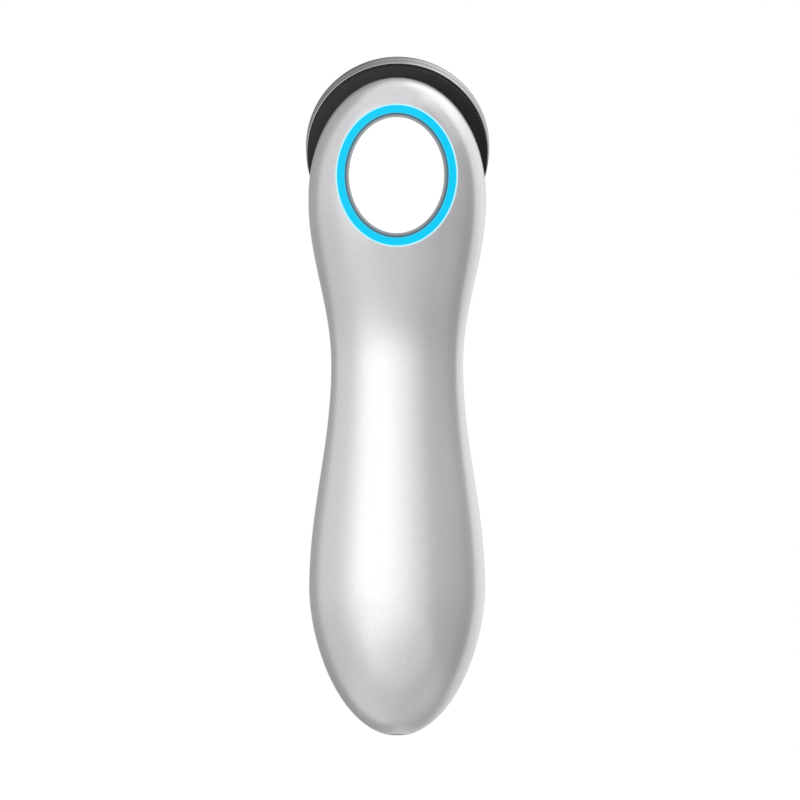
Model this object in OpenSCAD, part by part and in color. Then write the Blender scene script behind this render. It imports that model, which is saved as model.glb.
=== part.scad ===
// Hand-held facial toning device: a smooth two-piece handle with an oval illuminated button on the front
// and a round treatment head, tilted away from the handle, on the back.
// Frame: +Z runs up the handle from the mouth of the charging socket at the tail, the button faces -Y and
// the treatment head faces +Y. Millimetres.

/* [Body outline] */
// Length of the handle from tail tip to crown
body_l = 184.5; // [176:0.5:196]
// Height of the crown above the widest point of the head
crown_h = 34.5; // [32:0.5:38]
// Width of the head
head_w = 49.8; // [48:0.2:54]
// Height of the narrowest point of the waist
waist_z = 104; // [98:0.5:110]
// Width of the waist
waist_w = 37; // [35:0.2:42]
// Height of the widest point of the tail bulge
bulge_z = 41; // [38:0.5:46]
// Width of the tail bulge
bulge_w = 49.4; // [46:0.2:56]

/* [Body depth] */
// Depth of the front of the head, forward of the handle's axis
head_front = 22.4; // [20:0.1:24]
// Height above the widest point of the head at which its front is deepest
face_rise = 6; // [0:0.5:9]
// Room in the waist between the battery cradle and the front casing
front_room = 0.45; // [0.3:0.05:2]
// Room in the waist between the battery cell and the rear casing
back_room = 2.4; // [2:0.1:4]
// Depth of the front of the tail bulge
bulge_front = 19.5; // [18:0.1:23]
// Depth of the back of the tail bulge
bulge_back = 19.5; // [18:0.1:23]

/* [Casing] */
// Thickness of the casing wall
wall = 2; // [1.6:0.1:2.4]
// Position of the seam between the casings, behind the handle's axis
seam_y = 2; // [1.6:0.1:2.6]
// Height of the lip that locates the casings on each other
lip_h = 1.6; // [1.2:0.1:2]
// Thickness of the wall that carries the treatment head
seat_wall = 2.2; // [1.8:0.1:2.6]

/* [Treatment head] */
// Tilt of the head's axis above the horizontal
head_tilt = 12; // [9:0.5:14]
// Distance of the head's axis below the crown, on its seat
head_drop = 22; // [21:0.1:23]
// Distance of the seat behind the handle's axis, on the head's axis
seat_y = 8.5; // [8:0.1:10]
// Overhang of the black collar beyond the head, on each side
collar_proud = 0.4; // [0.1:0.1:1]
// Height of the black collar
collar_h = 5; // [4.4:0.1:6]
// Overhang of the chrome electrode ring beyond the collar
electrode_proud = 0.6; // [0.3:0.1:1.4]
// Height of the electrode ring
electrode_h = 8.4; // [8:0.1:9.4]
// Width of the electrode ring's lip over the lens
lip_w = 4; // [3:0.1:5]
// Radius of the centre electrode
plate_r = 10.6; // [9.6:0.1:11.4]
// Rise of the centre electrode's dome
plate_rise = 1.2; // [0.8:0.1:1.8]
// Number of red LEDs
led_count = 16; // [12:1:18]
// Radius of one red LED
led_r = 2; // [1.5:0.1:2.2]

/* [Button and light ring] */
// Distance of the button's centre below the crown
button_drop = 27.3; // [26.5:0.1:28]
// Half-width of the light ring
light_a = 17; // [16:0.1:17.6]
// Half-height of the light ring
light_b = 19.9; // [19:0.1:20.4]
// Width of the light ring's band
light_band = 2.5; // [2:0.1:3]
// Gap between the light ring and the button cap
button_gap = 0.35; // [0.25:0.05:0.5]
// Depth of the cap's edge below the light ring
button_sink = 0.3; // [0:0.05:0.5]
// Thickness of the button cap
cap_t = 1.6; // [1.2:0.1:2]
// Travel of the button
button_travel = 0.8; // [0.4:0.1:1]
// Turns of one return spring
spring_turns = 5; // [4:1:7]

/* [Electronics] */
// Diameter of the battery cell
cell_d = 18.4; // [16:0.1:18.6]
// Length of the battery cell
cell_l = 65; // [60:0.5:66]
// Height of the lower end of the battery cell
cell_z = 32; // [31:0.5:33]
// Thickness of the circuit boards
board_t = 1.6; // [1.2:0.1:1.8]
// Radius of the charging socket's bore
jack_r = 1.78; // [1.3:0.02:1.8]
// Depth of the charging socket's bore
jack_depth = 12; // [9:0.5:13]

/* [Hidden] */
$fn = 64;

// Shape of the body
tail_round = 0.25;
tail_fullness = 1.75;
crown_fullness = 2.15;
face_crown_fullness = 4;
body_fullness = 2.1;
face_fullness = 2.8;
back_fullness = 2.4;
wall_draft = 0.98;
head_z = body_l - crown_h;
face_z = head_z + face_rise;
tail_l = bulge_z + tail_round;
sides = 36;
reach = 200;

// Fits
clear = 0.1;
loose = 0.3;

// Screws
screw_r = 1.1;
screw_l = 6.5;
pilot_r = 1.25;
pilot_depth = screw_l - board_t + 0.6;
boss_r = 2.7;
small_boss_r = 2.4;
screw_head_r = 2.1;
screw_head_h = 1.4;
slot_w = 0.5;

// Battery, its cradle and contacts
cell_top = cell_z + cell_l;
cell_fit = 0.25;
cap_r = 3;
cap_l = 1.2;
cradle_t = 1.5;
cradle_in = cell_d / 2 + cell_fit;
cradle_out = cradle_in + cradle_t;
cradle_lap = 1.2;
contact_t = 0.4;
cradle_low = cell_z - contact_t - cradle_t;
cradle_top = cell_top + contact_t + cradle_t;
contact_w = 8;
contact_front = 5;
contact_back = 7;
tab_l = 8;
tab_w = 8;
tab_y = -3.6;
tab_t = 1.8;
tab_spot = tab_l / 2 + 0.5;
tab_spread = 7.5;
cradle_spots = [[tab_spread, cradle_top + tab_spot], [-tab_spread, cradle_top + tab_spot],
    [0, cradle_low - tab_spot]];
waist_front = cradle_out + front_room + wall;
waist_back = cell_d / 2 + back_room + wall;

// Treatment head, in heights above its seat
head_cz = body_l - head_drop;
collar_r = head_w / 2 + collar_proud;
electrode_r = collar_r + electrode_proud;
seat_r = collar_r - loose;
neck_z = head_cz - seat_r * cos(head_tilt);
collar_base = 2;
collar_wall = 1.7;
spigot_r = collar_r - collar_wall;
spigot_in = spigot_r - 1.4;
board_ledge = 1.7;
electrode_low = collar_h + clear;
head_h = electrode_low + electrode_h;
lens_t = 2.5;
lens_flange = 1.6;
lens_top = head_h - 0.3;
lens_low = lens_top - lens_t;
lens_r = electrode_r - lip_w - clear;
led_ring_r = (plate_r + lens_r) / 2 + 0.2;
led_base = collar_h + board_t;
reflector_low = led_base + 0.8;
reflector_top = lens_low - 0.4;
insulator_w = 0.6;
stud_r = 2;
nut_h = 1.6;
seal_d = 1.4;
seal_r = spigot_in - board_ledge - 0.5;
collar_screw_r = seal_r - seal_d / 2 - screw_head_r - 0.7;
collar_screw_turns = [90, 210, 330];
seat_boss_h = 5.2;
snap_low = collar_h + 3;
snap_d = 0.35;
snap_t = 0.4;
cable_x = 9;
cable_r = 3.2;

// Button, light ring and main board, in depths from the handle's axis
button_z = body_l - button_drop;
flange_t = 1;
flange_w = 0.9;
cap_a = light_a - light_band - button_gap;
cap_b = light_b - light_band - button_gap;
board_y = -4.5;
board_back = board_y + board_t;
guide_h = 6.4;
light_back = board_y - guide_h;
switch_w = 6;
switch_h = 3.4;
plunger_r = 1.7;
plunger_h = 1;
plunger_top = board_y - switch_h - plunger_h;
spring_z = 11.5;
spring_r = 2.1;
spring_wire = 0.45;
spring_l = 8.4;
spring_seat = board_y - spring_l;
leg_r = 0.7;
oval_steps = 48;

// Main board: its shape, its screws and what it carries
board_low = cradle_top + tab_l + 5.3;
board_neck = button_z - light_b - clear;
board_neck_w = 26;
board_side = 1.2;
board_end = 0.4;
screw_edge = 3.9;
board_screw_spots = [[light_a - screw_head_r - 0.4, board_neck + screw_edge],
    [board_neck_w / 2 - screw_head_r - 0.9, board_low + screw_edge]];
ring_led_count = 12;
ring_led_t = 1.6;
led_l = 2.8;
led_h = 1.9;
cap_led_x = 7;
cap_led_z = 8;
chip_w = 10;
chip_t = 1.4;
chip_z = board_low + 9;
pin_count = 8;
pin_pitch = 1.15;
pin_w = 0.5;
pin_l = 1.2;
coil_r = 3.6;
coil_core_r = 2.8;
coil_rim = 0.8;
coil_l = 4.4;
coil_x = -7;
can_r = 2.4;
can_l = 5;
can_x = 4;
can_step = 6;
row_z = board_low + 25;
connector_w = 6;
connector_l = 5;
connector_h = 2;
connector_low = head_cz - 3.6;
strand_r = 0.4;
strand_step = 1;

// Charging parts and leads
nose_r = 2.6;
nose_chamfer = 0.35;
socket_low = 4.2;
socket_w = 8;
socket_back = 4;
socket_top = jack_depth + 2.2;
charging_back = socket_back + board_t;
charging_board_w = 14;
charging_board_low = socket_low + 3.4;
charging_board_top = 25;
charging_spot = [4.6, charging_board_top - 4.5];
rib_count = 4;
rib_t = 1.4;
rib_y = seam_y + lip_h + 3;
hook_spots = [cell_z + cell_l / rib_count, cell_z + 3 * cell_l / rib_count, (waist_z + head_z) / 2,
    head_z + 8];
hook_w = 6;
hook_t = 1.3;
barb_y = seam_y + lip_h + 0.7;
barb_t = 1;
barb_d = 0.6;
wire_r = 0.55;
on_pad = wire_r + 0.05;
lead_room = 4.4;
lead_x = waist_w / 2 - wall - lead_room;
lead_y = 4.6;
lead_step = 1.3;
lead_bend = 4;
inner_tap = 1.5;
outer_tap = 3.6;
contact_tap = 2.5;
inner_pad = 3;
outer_pad = 5.6;
pad_l = 3;

// ---------------------------------------------------------------- curves of the body

// From a to b with level ends, as t goes from 0 to 1
function eased(a, b, t) = a + (b - a) * (1 - cos(180 * t)) / 2;

// Rounded end: 1 at u = 0, closing to 0 at u = 1
function closing(u, fullness, blunt = 2) = pow(max(0, 1 - pow(max(0, u), fullness)), 1 / blunt);

// A half-size of the body from the tail to height top, from its tail, waist and head values, drawn in by
// inset
function run(z, tail, waist, head, inset, top) =
    z < bulge_z ? (tail - inset) * closing((bulge_z - z) / (tail_l - inset), tail_fullness) :
    z < waist_z ? eased(tail, waist, (z - bulge_z) / (waist_z - bulge_z)) - inset :
    eased(waist, head, min(1, (z - waist_z) / (top - waist_z))) - inset;

function half_w(z, inset = 0) = run(z, bulge_w / 2, waist_w / 2, head_w / 2, inset, head_z)
    * closing((z - head_z) / (crown_h - inset), crown_fullness);
function front_d(z, inset = 0) = run(z, bulge_front, waist_front, head_front, inset, face_z)
    * closing((z - head_z) / (crown_h - inset), face_crown_fullness, face_crown_fullness);

// Depth of the head's seat plane, and half-width of the collar's circle on it
function seat_at(z) = seat_y - (z - head_cz) * tan(head_tilt);
function seat_half(z) = sqrt(max(0, seat_r * seat_r - pow((z - head_cz) / cos(head_tilt), 2)));

// Cubic from a, level, to b with slope s, over a length l
function swept(a, b, s, l, t) =
    a * (2 * t * t * t - 3 * t * t + 1) + b * (3 * t * t - 2 * t * t * t) + s * l * (t * t * t - t * t);

// Share of the body's width that the seat plane cuts at height z
function seat_share(z) = min(wall_draft, seat_half(z) / max(half_w(z), 1));

// Depth of the back: it runs up the handle into the seat plane, then flares so that its cut outline is
// the collar's circle below and the body's own outline above
function back_d(z, inset = 0) =
    z < waist_z ? run(z, bulge_back, waist_back, waist_back, inset, head_z) :
    z < neck_z ? swept(waist_back, seat_at(neck_z), -tan(head_tilt), neck_z - waist_z,
        (z - waist_z) / (neck_z - waist_z)) - inset :
    (seat_at(z) - inset) / pow(1 - pow(seat_share(z), back_fullness), 1 / back_fullness);

// Fullness of the front's section: nearly elliptical on the grip, flatter on the face of the head
function front_fullness(z) =
    eased(body_fullness, face_fullness, min(1, max(0, (z - waist_z) / (face_z - waist_z))));

// Front surface of the body
function dome_y(x, z) =
    -front_d(z) * closing(abs(x) / half_w(z), front_fullness(z), front_fullness(z));

// Section of the body at height z: an arc of one fullness in front and one of another behind
function power_arc(c, fullness) = sign(c) * pow(abs(c), 2 / fullness);
function section(z, inset) = [
    for (i = [0 : sides - 1]) let (a = 360 * i / sides, front = sin(a) <= 0,
        fullness = front ? front_fullness(z) : back_fullness)
        [half_w(z, inset) * power_arc(cos(a), fullness),
            (front ? front_d(z, inset) : back_d(z, inset)) * power_arc(sin(a), fullness), z]
];

// Heights of the sections: the tail, cut flat at the socket's mouth, then the grip, then the crown
function stations(inset) = concat(
    [for (a = [6 : 14 : 76]) max(0, bulge_z - (tail_l - inset) * cos(a))],
    [for (i = [0 : 11]) bulge_z + (head_z - bulge_z) * i / 12],
    [for (a = [0, 14, 27, 40, 52, 64, 75, 85]) head_z + (crown_h - inset) * sin(a)]
);

// Faces of a tube of rings of n points each, with flat ends
function tube_faces(rings, n) = concat(
    [[for (i = [0 : n - 1]) i]],
    [for (r = [0 : rings - 2]) for (i = [0 : n - 1])
        let (a = r * n + i, b = r * n + (i + 1) % n)
        each [[a, a + n, b], [b, a + n, b + n]]],
    [[for (i = [n - 1 : -1 : 0]) (rings - 1) * n + i]]
);

// Faces of a ring of rings, closed on itself
function loop_faces(rings, n) = [
    for (r = [0 : rings - 1]) for (i = [0 : n - 1])
        let (s = (r + 1) % rings, j = (i + 1) % n)
        each [[r * n + i, s * n + i, r * n + j], [r * n + j, s * n + i, s * n + j]]
];

// ---------------------------------------------------------------- shared shapes

// Takes its children as one mesh
module one_mesh() resize([0, 0, 0]) children();

// Places its children on the head's seat, with their Z along the head's axis
module on_seat() translate([0, seat_y, head_cz]) rotate([head_tilt - 90, 0, 0]) children();

// A cylinder along +Y from depth y0 to y1
module along_y(x, z, y0, y1, r) translate([x, y0, z]) rotate([-90, 0, 0]) cylinder(r = r, h = y1 - y0);

// Hole in both casings for the charging socket's nose
module socket_hole() translate([0, 0, -1]) cylinder(r = nose_r + clear, h = socket_low, $fn = 32);

// The body drawn in by inset, cut off at the seat or at a depth below it
module body_solid(inset = 0, below_seat = 0) {
    levels = stations(inset);
    difference() {
        polyhedron([for (z = levels) each section(z, inset)], tube_faces(len(levels), sides));
        on_seat() translate([-reach / 2, -reach / 2, -below_seat]) cube([reach, reach, reach]);
    }
}

// All of space in front of depth y, or behind it
module in_front(y) translate([-reach / 2, y - reach, -reach / 4]) cube([reach, reach, 2 * reach]);
module behind(y) translate([-reach / 2, y, -reach / 4]) cube([reach, reach, 2 * reach]);

// An oval plate along Y, centred on the button's axis
function oval(a, b) = [for (i = [0 : oval_steps - 1])
    [a * cos(360 * i / oval_steps), b * sin(360 * i / oval_steps)]];
module oval_plate(a, b, y0, y1)
    translate([0, y1, button_z]) rotate([90, 0, 0]) linear_extrude(y1 - y0) polygon(oval(a, b));

// Points on an oval about the button's axis. Each profile entry is [grow, on_dome, depth]: how far the
// oval grows, and its depth, measured from the body's front surface or from the handle's axis.
function oval_points(a, b, profile) = [
    for (i = [0 : oval_steps - 1]) for (p = profile)
        let (t = 360 * i / oval_steps, x = (a + p[0]) * cos(t), z = button_z + (b + p[0]) * sin(t))
        [x, p[1] ? dome_y(x, z) + p[2] : p[2], z]
];

// A screw through whatever lies at height 0: head above, shank below
module screw() {
    difference() {
        cylinder(r1 = screw_head_r, r2 = screw_head_r - 0.4, h = screw_head_h);
        for (a = [0, 90]) rotate(a) translate([-screw_r, -slot_w / 2, slot_w])
            cube([2 * screw_r, slot_w, screw_head_h]);
    }
    translate([0, 0, -screw_l]) cylinder(r = screw_r, h = screw_l);
}

// A wire through its route's points, as one tube
function unit(v) = v / norm(v);
function heading(p, i) = unit(p[min(i + 1, len(p) - 1)] - p[max(i - 1, 0)]);
function wire_ring(c, d, r, n, up) =
    let (u = unit(cross(d, up)), v = cross(d, u))
    [for (i = [0 : n - 1]) c + r * (u * cos(360 * i / n) + v * sin(360 * i / n))];
module wire(route, r, n = 8, up = [0, 1, 0])
    polyhedron([for (i = [0 : len(route) - 1]) each wire_ring(route[i], heading(route, i), r, n, up)],
        tube_faces(len(route), n));

// ---------------------------------------------------------------- casings

// Bands across the body at each snap hook, between two depths
module hook_bands(y0, y1, grow = 0) for (z = hook_spots)
    translate([-reach / 2, y0, z - hook_w / 2 - grow]) cube([reach, y1 - y0, hook_w + 2 * grow]);

// Snap hooks: arms inside the wall, rooted in the front casing, with barbs that catch in the rear casing
module hooks() difference() {
    union() {
        intersection() {
            body_solid(wall / 2, seat_wall);
            hook_bands(seam_y - 4, seam_y - 1);
        }
        intersection() {
            body_solid(wall + 2 * clear, seat_wall);
            hook_bands(seam_y - 4, barb_y + barb_t);
        }
        intersection() {
            body_solid(wall - barb_d + clear, seat_wall);
            hook_bands(barb_y, barb_y + barb_t);
        }
    }
    body_solid(wall + hook_t, seat_wall - 1);
}

module hook_pockets() intersection() {
    body_solid(wall - barb_d, seat_wall);
    hook_bands(barb_y - clear, barb_y + barb_t + clear, clear);
}

// Lip inside the seam: it starts within the front casing and stops short of the seat's wall
module lip() difference() {
    body_solid(wall / 2 + clear, seat_wall + 2 * clear);
    body_solid(wall, seat_wall + clear);
    in_front(seam_y - 0.5);
    behind(seam_y + lip_h);
}

// Room that the lip takes in the rear casing
module lip_room() difference() {
    body_solid(wall / 2, seat_wall + clear);
    behind(seam_y + lip_h + clear);
}

// Round posts under the main board's screws and the cradle's, from root below the screw's seat
module front_bosses(r, root, proud = 0) {
    for (s = [-1, 1]) for (p = board_screw_spots)
        along_y(s * p[0], p[1], board_y - root, board_y + proud, r);
    for (p = cradle_spots) along_y(p[0], p[1], tab_y - root, tab_y + proud, r);
}

module front_casing() color("silver") one_mesh() difference() {
    union() {
        difference() {
            body_solid();
            body_solid(wall, seat_wall);
            behind(seam_y);
        }
        lip();
        hooks();
        intersection() {
            body_solid(wall / 2, seat_wall);
            front_bosses(boss_r, reach / 8, $fn = 24);
        }
    }
    front_bosses(pilot_r, pilot_depth, 1, $fn = 16);
    oval_plate(light_a + clear, light_b + clear, -reach / 4, light_back + 0.5);
    socket_hole();
}

// Ribs that hold the cell in its cradle, with slots for the leads
module rear_ribs() intersection() {
    body_solid(wall / 2, seat_wall);
    difference() {
        for (i = [0.5 : rib_count])
            translate([-reach / 2, rib_y, cell_z + cell_l * i / rib_count]) cube([reach, reach, rib_t]);
        translate([0, 0, cell_z]) cylinder(r = cradle_in, h = cell_l, $fn = 40);
        for (s = [-1, 1]) translate([s * (lead_x + lead_step / 2) - lead_step, 0, cell_z])
            cube([2 * lead_step, lead_y + 2 * lead_step, cell_l]);
    }
}

module rear_bosses() {
    intersection() {
        body_solid(wall / 2, seat_wall / 2);
        on_seat() for (a = collar_screw_turns) rotate(a) translate([collar_screw_r, 0, -seat_boss_h])
            cylinder(r = boss_r, h = seat_boss_h, $fn = 24);
    }
    intersection() {
        body_solid(wall / 2, seat_wall);
        for (s = [-1, 1])
            along_y(s * charging_spot[0], charging_spot[1], charging_back, reach / 8, small_boss_r, $fn = 24);
    }
}

module rear_casing() color("silver") one_mesh() difference() {
    union() {
        difference() {
            body_solid();
            body_solid(wall, seat_wall);
        }
        rear_ribs();
        rear_bosses();
    }
    in_front(seam_y + clear);
    lip_room();
    hook_pockets();
    on_seat() {
        for (a = collar_screw_turns) rotate(a) translate([collar_screw_r, 0, -seat_boss_h - 1])
            cylinder(r = pilot_r, h = seat_boss_h + 2, $fn = 16);
        translate([cable_x, 0, -reach / 8]) cylinder(r = cable_r, h = reach / 4, $fn = 32);
    }
    for (s = [-1, 1])
        along_y(s * charging_spot[0], charging_spot[1], 0, charging_back + pilot_depth, pilot_r, $fn = 16);
    socket_hole();
}

// ---------------------------------------------------------------- button and light ring

light_profile = [
    [-light_band, false, light_back], [-light_band, true, 0.1], [-light_band + 0.3, true, -0.15],
    [-0.3, true, -0.15], [0, true, 0.15], [0, false, light_back]
];

module light_ring() color("deepskyblue") one_mesh() {
    polyhedron(oval_points(light_a, light_b, light_profile), loop_faces(oval_steps, len(light_profile)));
    for (s = [-1, 1]) {
        along_y(s * (light_a - leg_r - 0.05), button_z, light_back - 1, board_y, leg_r, $fn = 16);
        along_y(0, button_z + s * (light_b - leg_r - 0.05), light_back - 1, board_y, leg_r, $fn = 16);
    }
}

// The cap from its flange's foot, up its outside, over the dome and back inside, ending on the axis
flange_low = light_back + 0.2;
cap_edge = [
    [flange_w + button_gap, false, flange_low + flange_t], [flange_w + button_gap, false, flange_low],
    [0, false, flange_low], [0, true, button_sink + 0.8], [-0.25, true, button_sink + 0.3],
    [-0.8, true, button_sink], [-cap_a * 0.4, true, button_sink], [-cap_a * 0.75, true, button_sink]
];
cap_inside = [
    [-cap_a * 0.75, true, button_sink + cap_t], [-cap_a * 0.4, true, button_sink + cap_t],
    [-cap_t, true, button_sink + cap_t + 0.5], [-cap_t, false, flange_low + flange_t]
];
cap_profile = concat(cap_edge, cap_inside);

module cap_shell() {
    n = len(cap_profile);
    m = len(cap_edge);
    rim = oval_points(cap_a, cap_b, cap_profile);
    crown = len(rim);
    points = concat(rim, [[0, dome_y(0, button_z) + button_sink, button_z],
        [0, dome_y(0, button_z) + button_sink + cap_t, button_z]]);
    faces = [for (i = [0 : oval_steps - 1]) let (j = (i + 1) % oval_steps) each concat(
        [for (k = [0 : n - 1]) if (k != m - 1) let (l = (k + 1) % n)
            each [[i * n + k, i * n + l, j * n + k], [i * n + l, j * n + l, j * n + k]]],
        [[i * n + m - 1, crown, j * n + m - 1], [j * n + m, crown + 1, i * n + m]])];
    polyhedron(points, faces);
}

module power_button() color("white") one_mesh() {
    cap_shell();
    intersection() {
        translate([0, button_sink + cap_t / 2, 0]) body_solid(0, seat_wall);
        union() {
            along_y(0, button_z, -reach / 8, plunger_top, plunger_r + 0.7, $fn = 24);
            for (s = [-1, 1]) {
                along_y(0, button_z + s * spring_z, -reach / 8, spring_seat, spring_r + 0.9, $fn = 24);
                along_y(0, button_z + s * spring_z, -reach / 8, spring_seat + 1.6, spring_r - 0.9, $fn = 16);
            }
        }
    }
}

module switch_plunger() color("dimgray")
    along_y(0, button_z, plunger_top, board_y - switch_h + 0.4, plunger_r);

module button_switch() color("darkslategray") difference() {
    translate([-switch_w / 2, board_y - switch_h, button_z - switch_w / 2])
        cube([switch_w, switch_h, switch_w]);
    along_y(0, button_z, board_y - switch_h - 1, board_y - switch_h + 0.6 + button_travel, plunger_r + 0.06);
}

module return_springs() color("gainsboro") {
    steps = 8 * spring_turns;
    span = board_y - spring_seat - spring_wire;
    for (s = [-1, 1]) translate([0, spring_seat + spring_wire / 2, button_z + s * spring_z])
        wire([for (i = [0 : steps]) let (a = 45 * i)
            [spring_r * cos(a), span * (1 - cos(180 * i / steps)) / 2, spring_r * sin(a)]],
            spring_wire / 2, 6, [0, 1, 0]);
}

// ---------------------------------------------------------------- main board

module main_board() color("darkgreen") difference() {
    union() {
        oval_plate(light_a + board_side, light_b + board_end, board_y, board_back);
        translate([-light_a, board_y, board_neck]) cube([2 * light_a, board_t, button_z - board_neck]);
        translate([-board_neck_w / 2, board_y, board_low])
            cube([board_neck_w, board_t, board_neck - board_low]);
    }
    for (s = [-1, 1]) for (p = board_screw_spots)
        along_y(s * p[0], p[1], board_y - 1, board_back + 1, screw_r + clear);
}

module ring_leds() color("paleturquoise")
    for (i = [0 : ring_led_count - 1]) let (a = 360 * (i + 0.5) / ring_led_count,
        x = (light_a - light_band / 2) * cos(a), z = (light_b - light_band / 2) * sin(a))
        translate([x, board_y, button_z + z]) rotate([90, -atan2(z, x), 0])
            translate([-ring_led_t / 2, -led_l / 2, 0]) cube([ring_led_t, led_l, led_h]);

module cap_leds() color("ivory")
    for (sx = [-1, 1]) for (sz = [-1, 1])
        translate([sx * cap_led_x - led_l / 2, board_y - led_h, button_z + sz * cap_led_z - led_l / 2])
            cube([led_l, led_h, led_l]);

module controller_chip() color("black") {
    translate([-chip_w / 2, board_back + clear, chip_z]) cube([chip_w, chip_t, chip_w]);
    for (s = [-1, 1]) for (i = [0 : pin_count - 1])
        translate([s * (chip_w + 0.8) / 2 - pin_l / 2, board_back, chip_z
            + (chip_w - (pin_count - 1) * pin_pitch - pin_w) / 2 + i * pin_pitch])
            cube([pin_l, pin_w, pin_w]);
}

module boost_coil() color("saddlebrown") {
    along_y(coil_x, row_z, board_back, board_back + coil_rim, coil_r);
    along_y(coil_x, row_z, board_back + coil_rim, board_back + coil_l - coil_rim, coil_core_r);
    along_y(coil_x, row_z, board_back + coil_l - coil_rim, board_back + coil_l, coil_r);
}

module board_capacitors() color("slategray")
    for (i = [0, 1]) along_y(can_x + i * can_step, row_z, board_back, board_back + can_l, can_r);

module board_screws() color("lightgray")
    for (s = [-1, 1]) for (p = board_screw_spots)
        translate([s * p[0], board_back, p[1]]) rotate([-90, 0, 0]) screw();

// ---------------------------------------------------------------- battery

module battery_cell() color("royalblue") translate([0, 0, cell_z]) {
    cylinder(r = cell_d / 2, h = cell_l - cap_l);
    translate([0, 0, cell_l - cap_l]) cylinder(r = cap_r, h = cap_l);
}

module battery_cradle() color("dimgray") difference() {
    union() {
        translate([0, 0, cradle_low]) cylinder(r = cradle_out, h = cradle_top - cradle_low);
        translate([-cradle_out, tab_y, cradle_top - 0.5]) cube([2 * cradle_out, tab_t, tab_l + 0.5]);
        translate([-tab_w / 2, tab_y, cradle_low - tab_l]) cube([tab_w, tab_t, tab_l + 0.5]);
    }
    translate([0, 0, cradle_low + cradle_t])
        cylinder(r = cradle_in, h = cradle_top - cradle_low - 2 * cradle_t);
    behind(cradle_lap);
    for (z = [cell_z + cell_l / 8, cell_z + 5 * cell_l / 9])
        translate([-cell_d / 4, -reach / 8, z]) cube([cell_d / 2, reach / 8, cell_l / 3 - cradle_t]);
    for (p = cradle_spots) along_y(p[0], p[1], tab_y - 1, tab_y + tab_t + 1, screw_r + clear);
}

module battery_contacts() color("gold")
    for (z = [cradle_low + cradle_t, cell_top])
        translate([-contact_w / 2, -contact_front, z + 0.02])
            cube([contact_w, contact_back + contact_front, contact_t - 0.04]);

module cradle_screws() color("lightgray")
    for (p = cradle_spots) translate([p[0], tab_y + tab_t, p[1]]) rotate([-90, 0, 0]) screw();

// Last stretch of a lead: over the main board's lower edge and down to its pad
function landing(x) =
    [[x, board_back + on_pad + 0.9, board_low], [x, board_back + on_pad, board_low + pad_l]];

// Stretch of a lead along the cell
function beside_cell(x, y) = [[x, y, cell_z + lead_bend], [x, y, cell_top - 1.5 * lead_bend]];

module battery_leads() color("firebrick") {
    wire(concat([[contact_tap, contact_back + on_pad, cell_top + contact_t / 2],
        [inner_pad, contact_back + 2 * wire_r, cell_top + lead_bend],
        [inner_pad, lead_y, board_low - lead_bend]], landing(inner_pad)), wire_r);
    wire(concat([[contact_tap, lead_y, cradle_low + cradle_t - on_pad],
        [outer_pad + 0.4, lead_y + 0.8, cell_z - lead_bend / 2],
        [lead_x - wire_r, lead_y + 0.8, cell_z - 0.3 * lead_bend]], beside_cell(lead_x, lead_y),
        [[lead_x - 2.6, lead_y - 0.4, cell_top + lead_bend],
        [outer_pad + 1.4, lead_y - 1, board_low - lead_bend - 1]], landing(outer_pad)), wire_r);
}

// ---------------------------------------------------------------- charging

module charging_socket() color("black") difference() {
    union() {
        cylinder(r1 = nose_r - nose_chamfer, r2 = nose_r, h = nose_chamfer);
        translate([0, 0, nose_chamfer]) cylinder(r = nose_r, h = socket_low + 0.5 - nose_chamfer);
        translate([-socket_w / 2, 0.1 - socket_back, socket_low])
            cube([socket_w, 2 * socket_back - 0.1, socket_top - socket_low]);
    }
    translate([0, 0, -1]) cylinder(r = jack_r, h = jack_depth + 1);
}

module socket_seal() color("whitesmoke") translate([0, 0, socket_low - 0.9])
    rotate_extrude() translate([nose_r + 0.02, 0]) square([0.9, 0.88]);

module charging_board() color("darkgreen") difference() {
    translate([-charging_board_w / 2, socket_back, charging_board_low])
        cube([charging_board_w, board_t, charging_board_top - charging_board_low]);
    for (s = [-1, 1]) along_y(s * charging_spot[0], charging_spot[1], 0, reach / 8, screw_r + clear);
}

module charging_board_screws() color("lightgray")
    for (s = [-1, 1]) translate([s * charging_spot[0], socket_back, charging_spot[1]])
        rotate([90, 0, 0]) screw();

module charging_leads() color("black") {
    out_x = lead_x + lead_step;
    pad_y = socket_back - on_pad;
    wire(concat([[-inner_tap, pad_y, charging_board_top - pad_l / 2],
        [-inner_tap, pad_y, charging_board_top + lead_bend / 2],
        [-contact_w / 2 - 1, lead_y - 0.8, cell_z - 0.8 * lead_bend],
        [0.8 - lead_x, lead_y + 0.4, cell_z - 0.45 * lead_bend]], beside_cell(-lead_x, lead_y),
        [[2.1 - lead_x, lead_y - 0.4, cell_top + lead_bend],
        [0.2 - outer_pad, lead_y - 1.2, board_low - lead_bend - 1]], landing(-inner_pad)), wire_r);
    wire(concat([[-outer_tap, pad_y, charging_board_top - pad_l / 2], [-outer_tap, pad_y, charging_board_top],
        [-outer_tap - 2 * lead_step, lead_y - 0.4, charging_board_top + 0.35 * lead_bend],
        [-out_x, lead_y + 1.4, cell_z - 0.9 * lead_bend]], beside_cell(-out_x, lead_y + lead_step),
        [[0.3 - lead_x, lead_y + 1, cell_top + lead_bend],
        [-outer_pad - 2.4, lead_y + 0.2, board_low - lead_bend]], landing(-outer_pad)), wire_r);
}

// ---------------------------------------------------------------- treatment head, above its seat

module collar_holes(r) for (a = collar_screw_turns) rotate(a) translate([collar_screw_r, 0, -1])
    cylinder(r = r, h = collar_base + 2);

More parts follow.
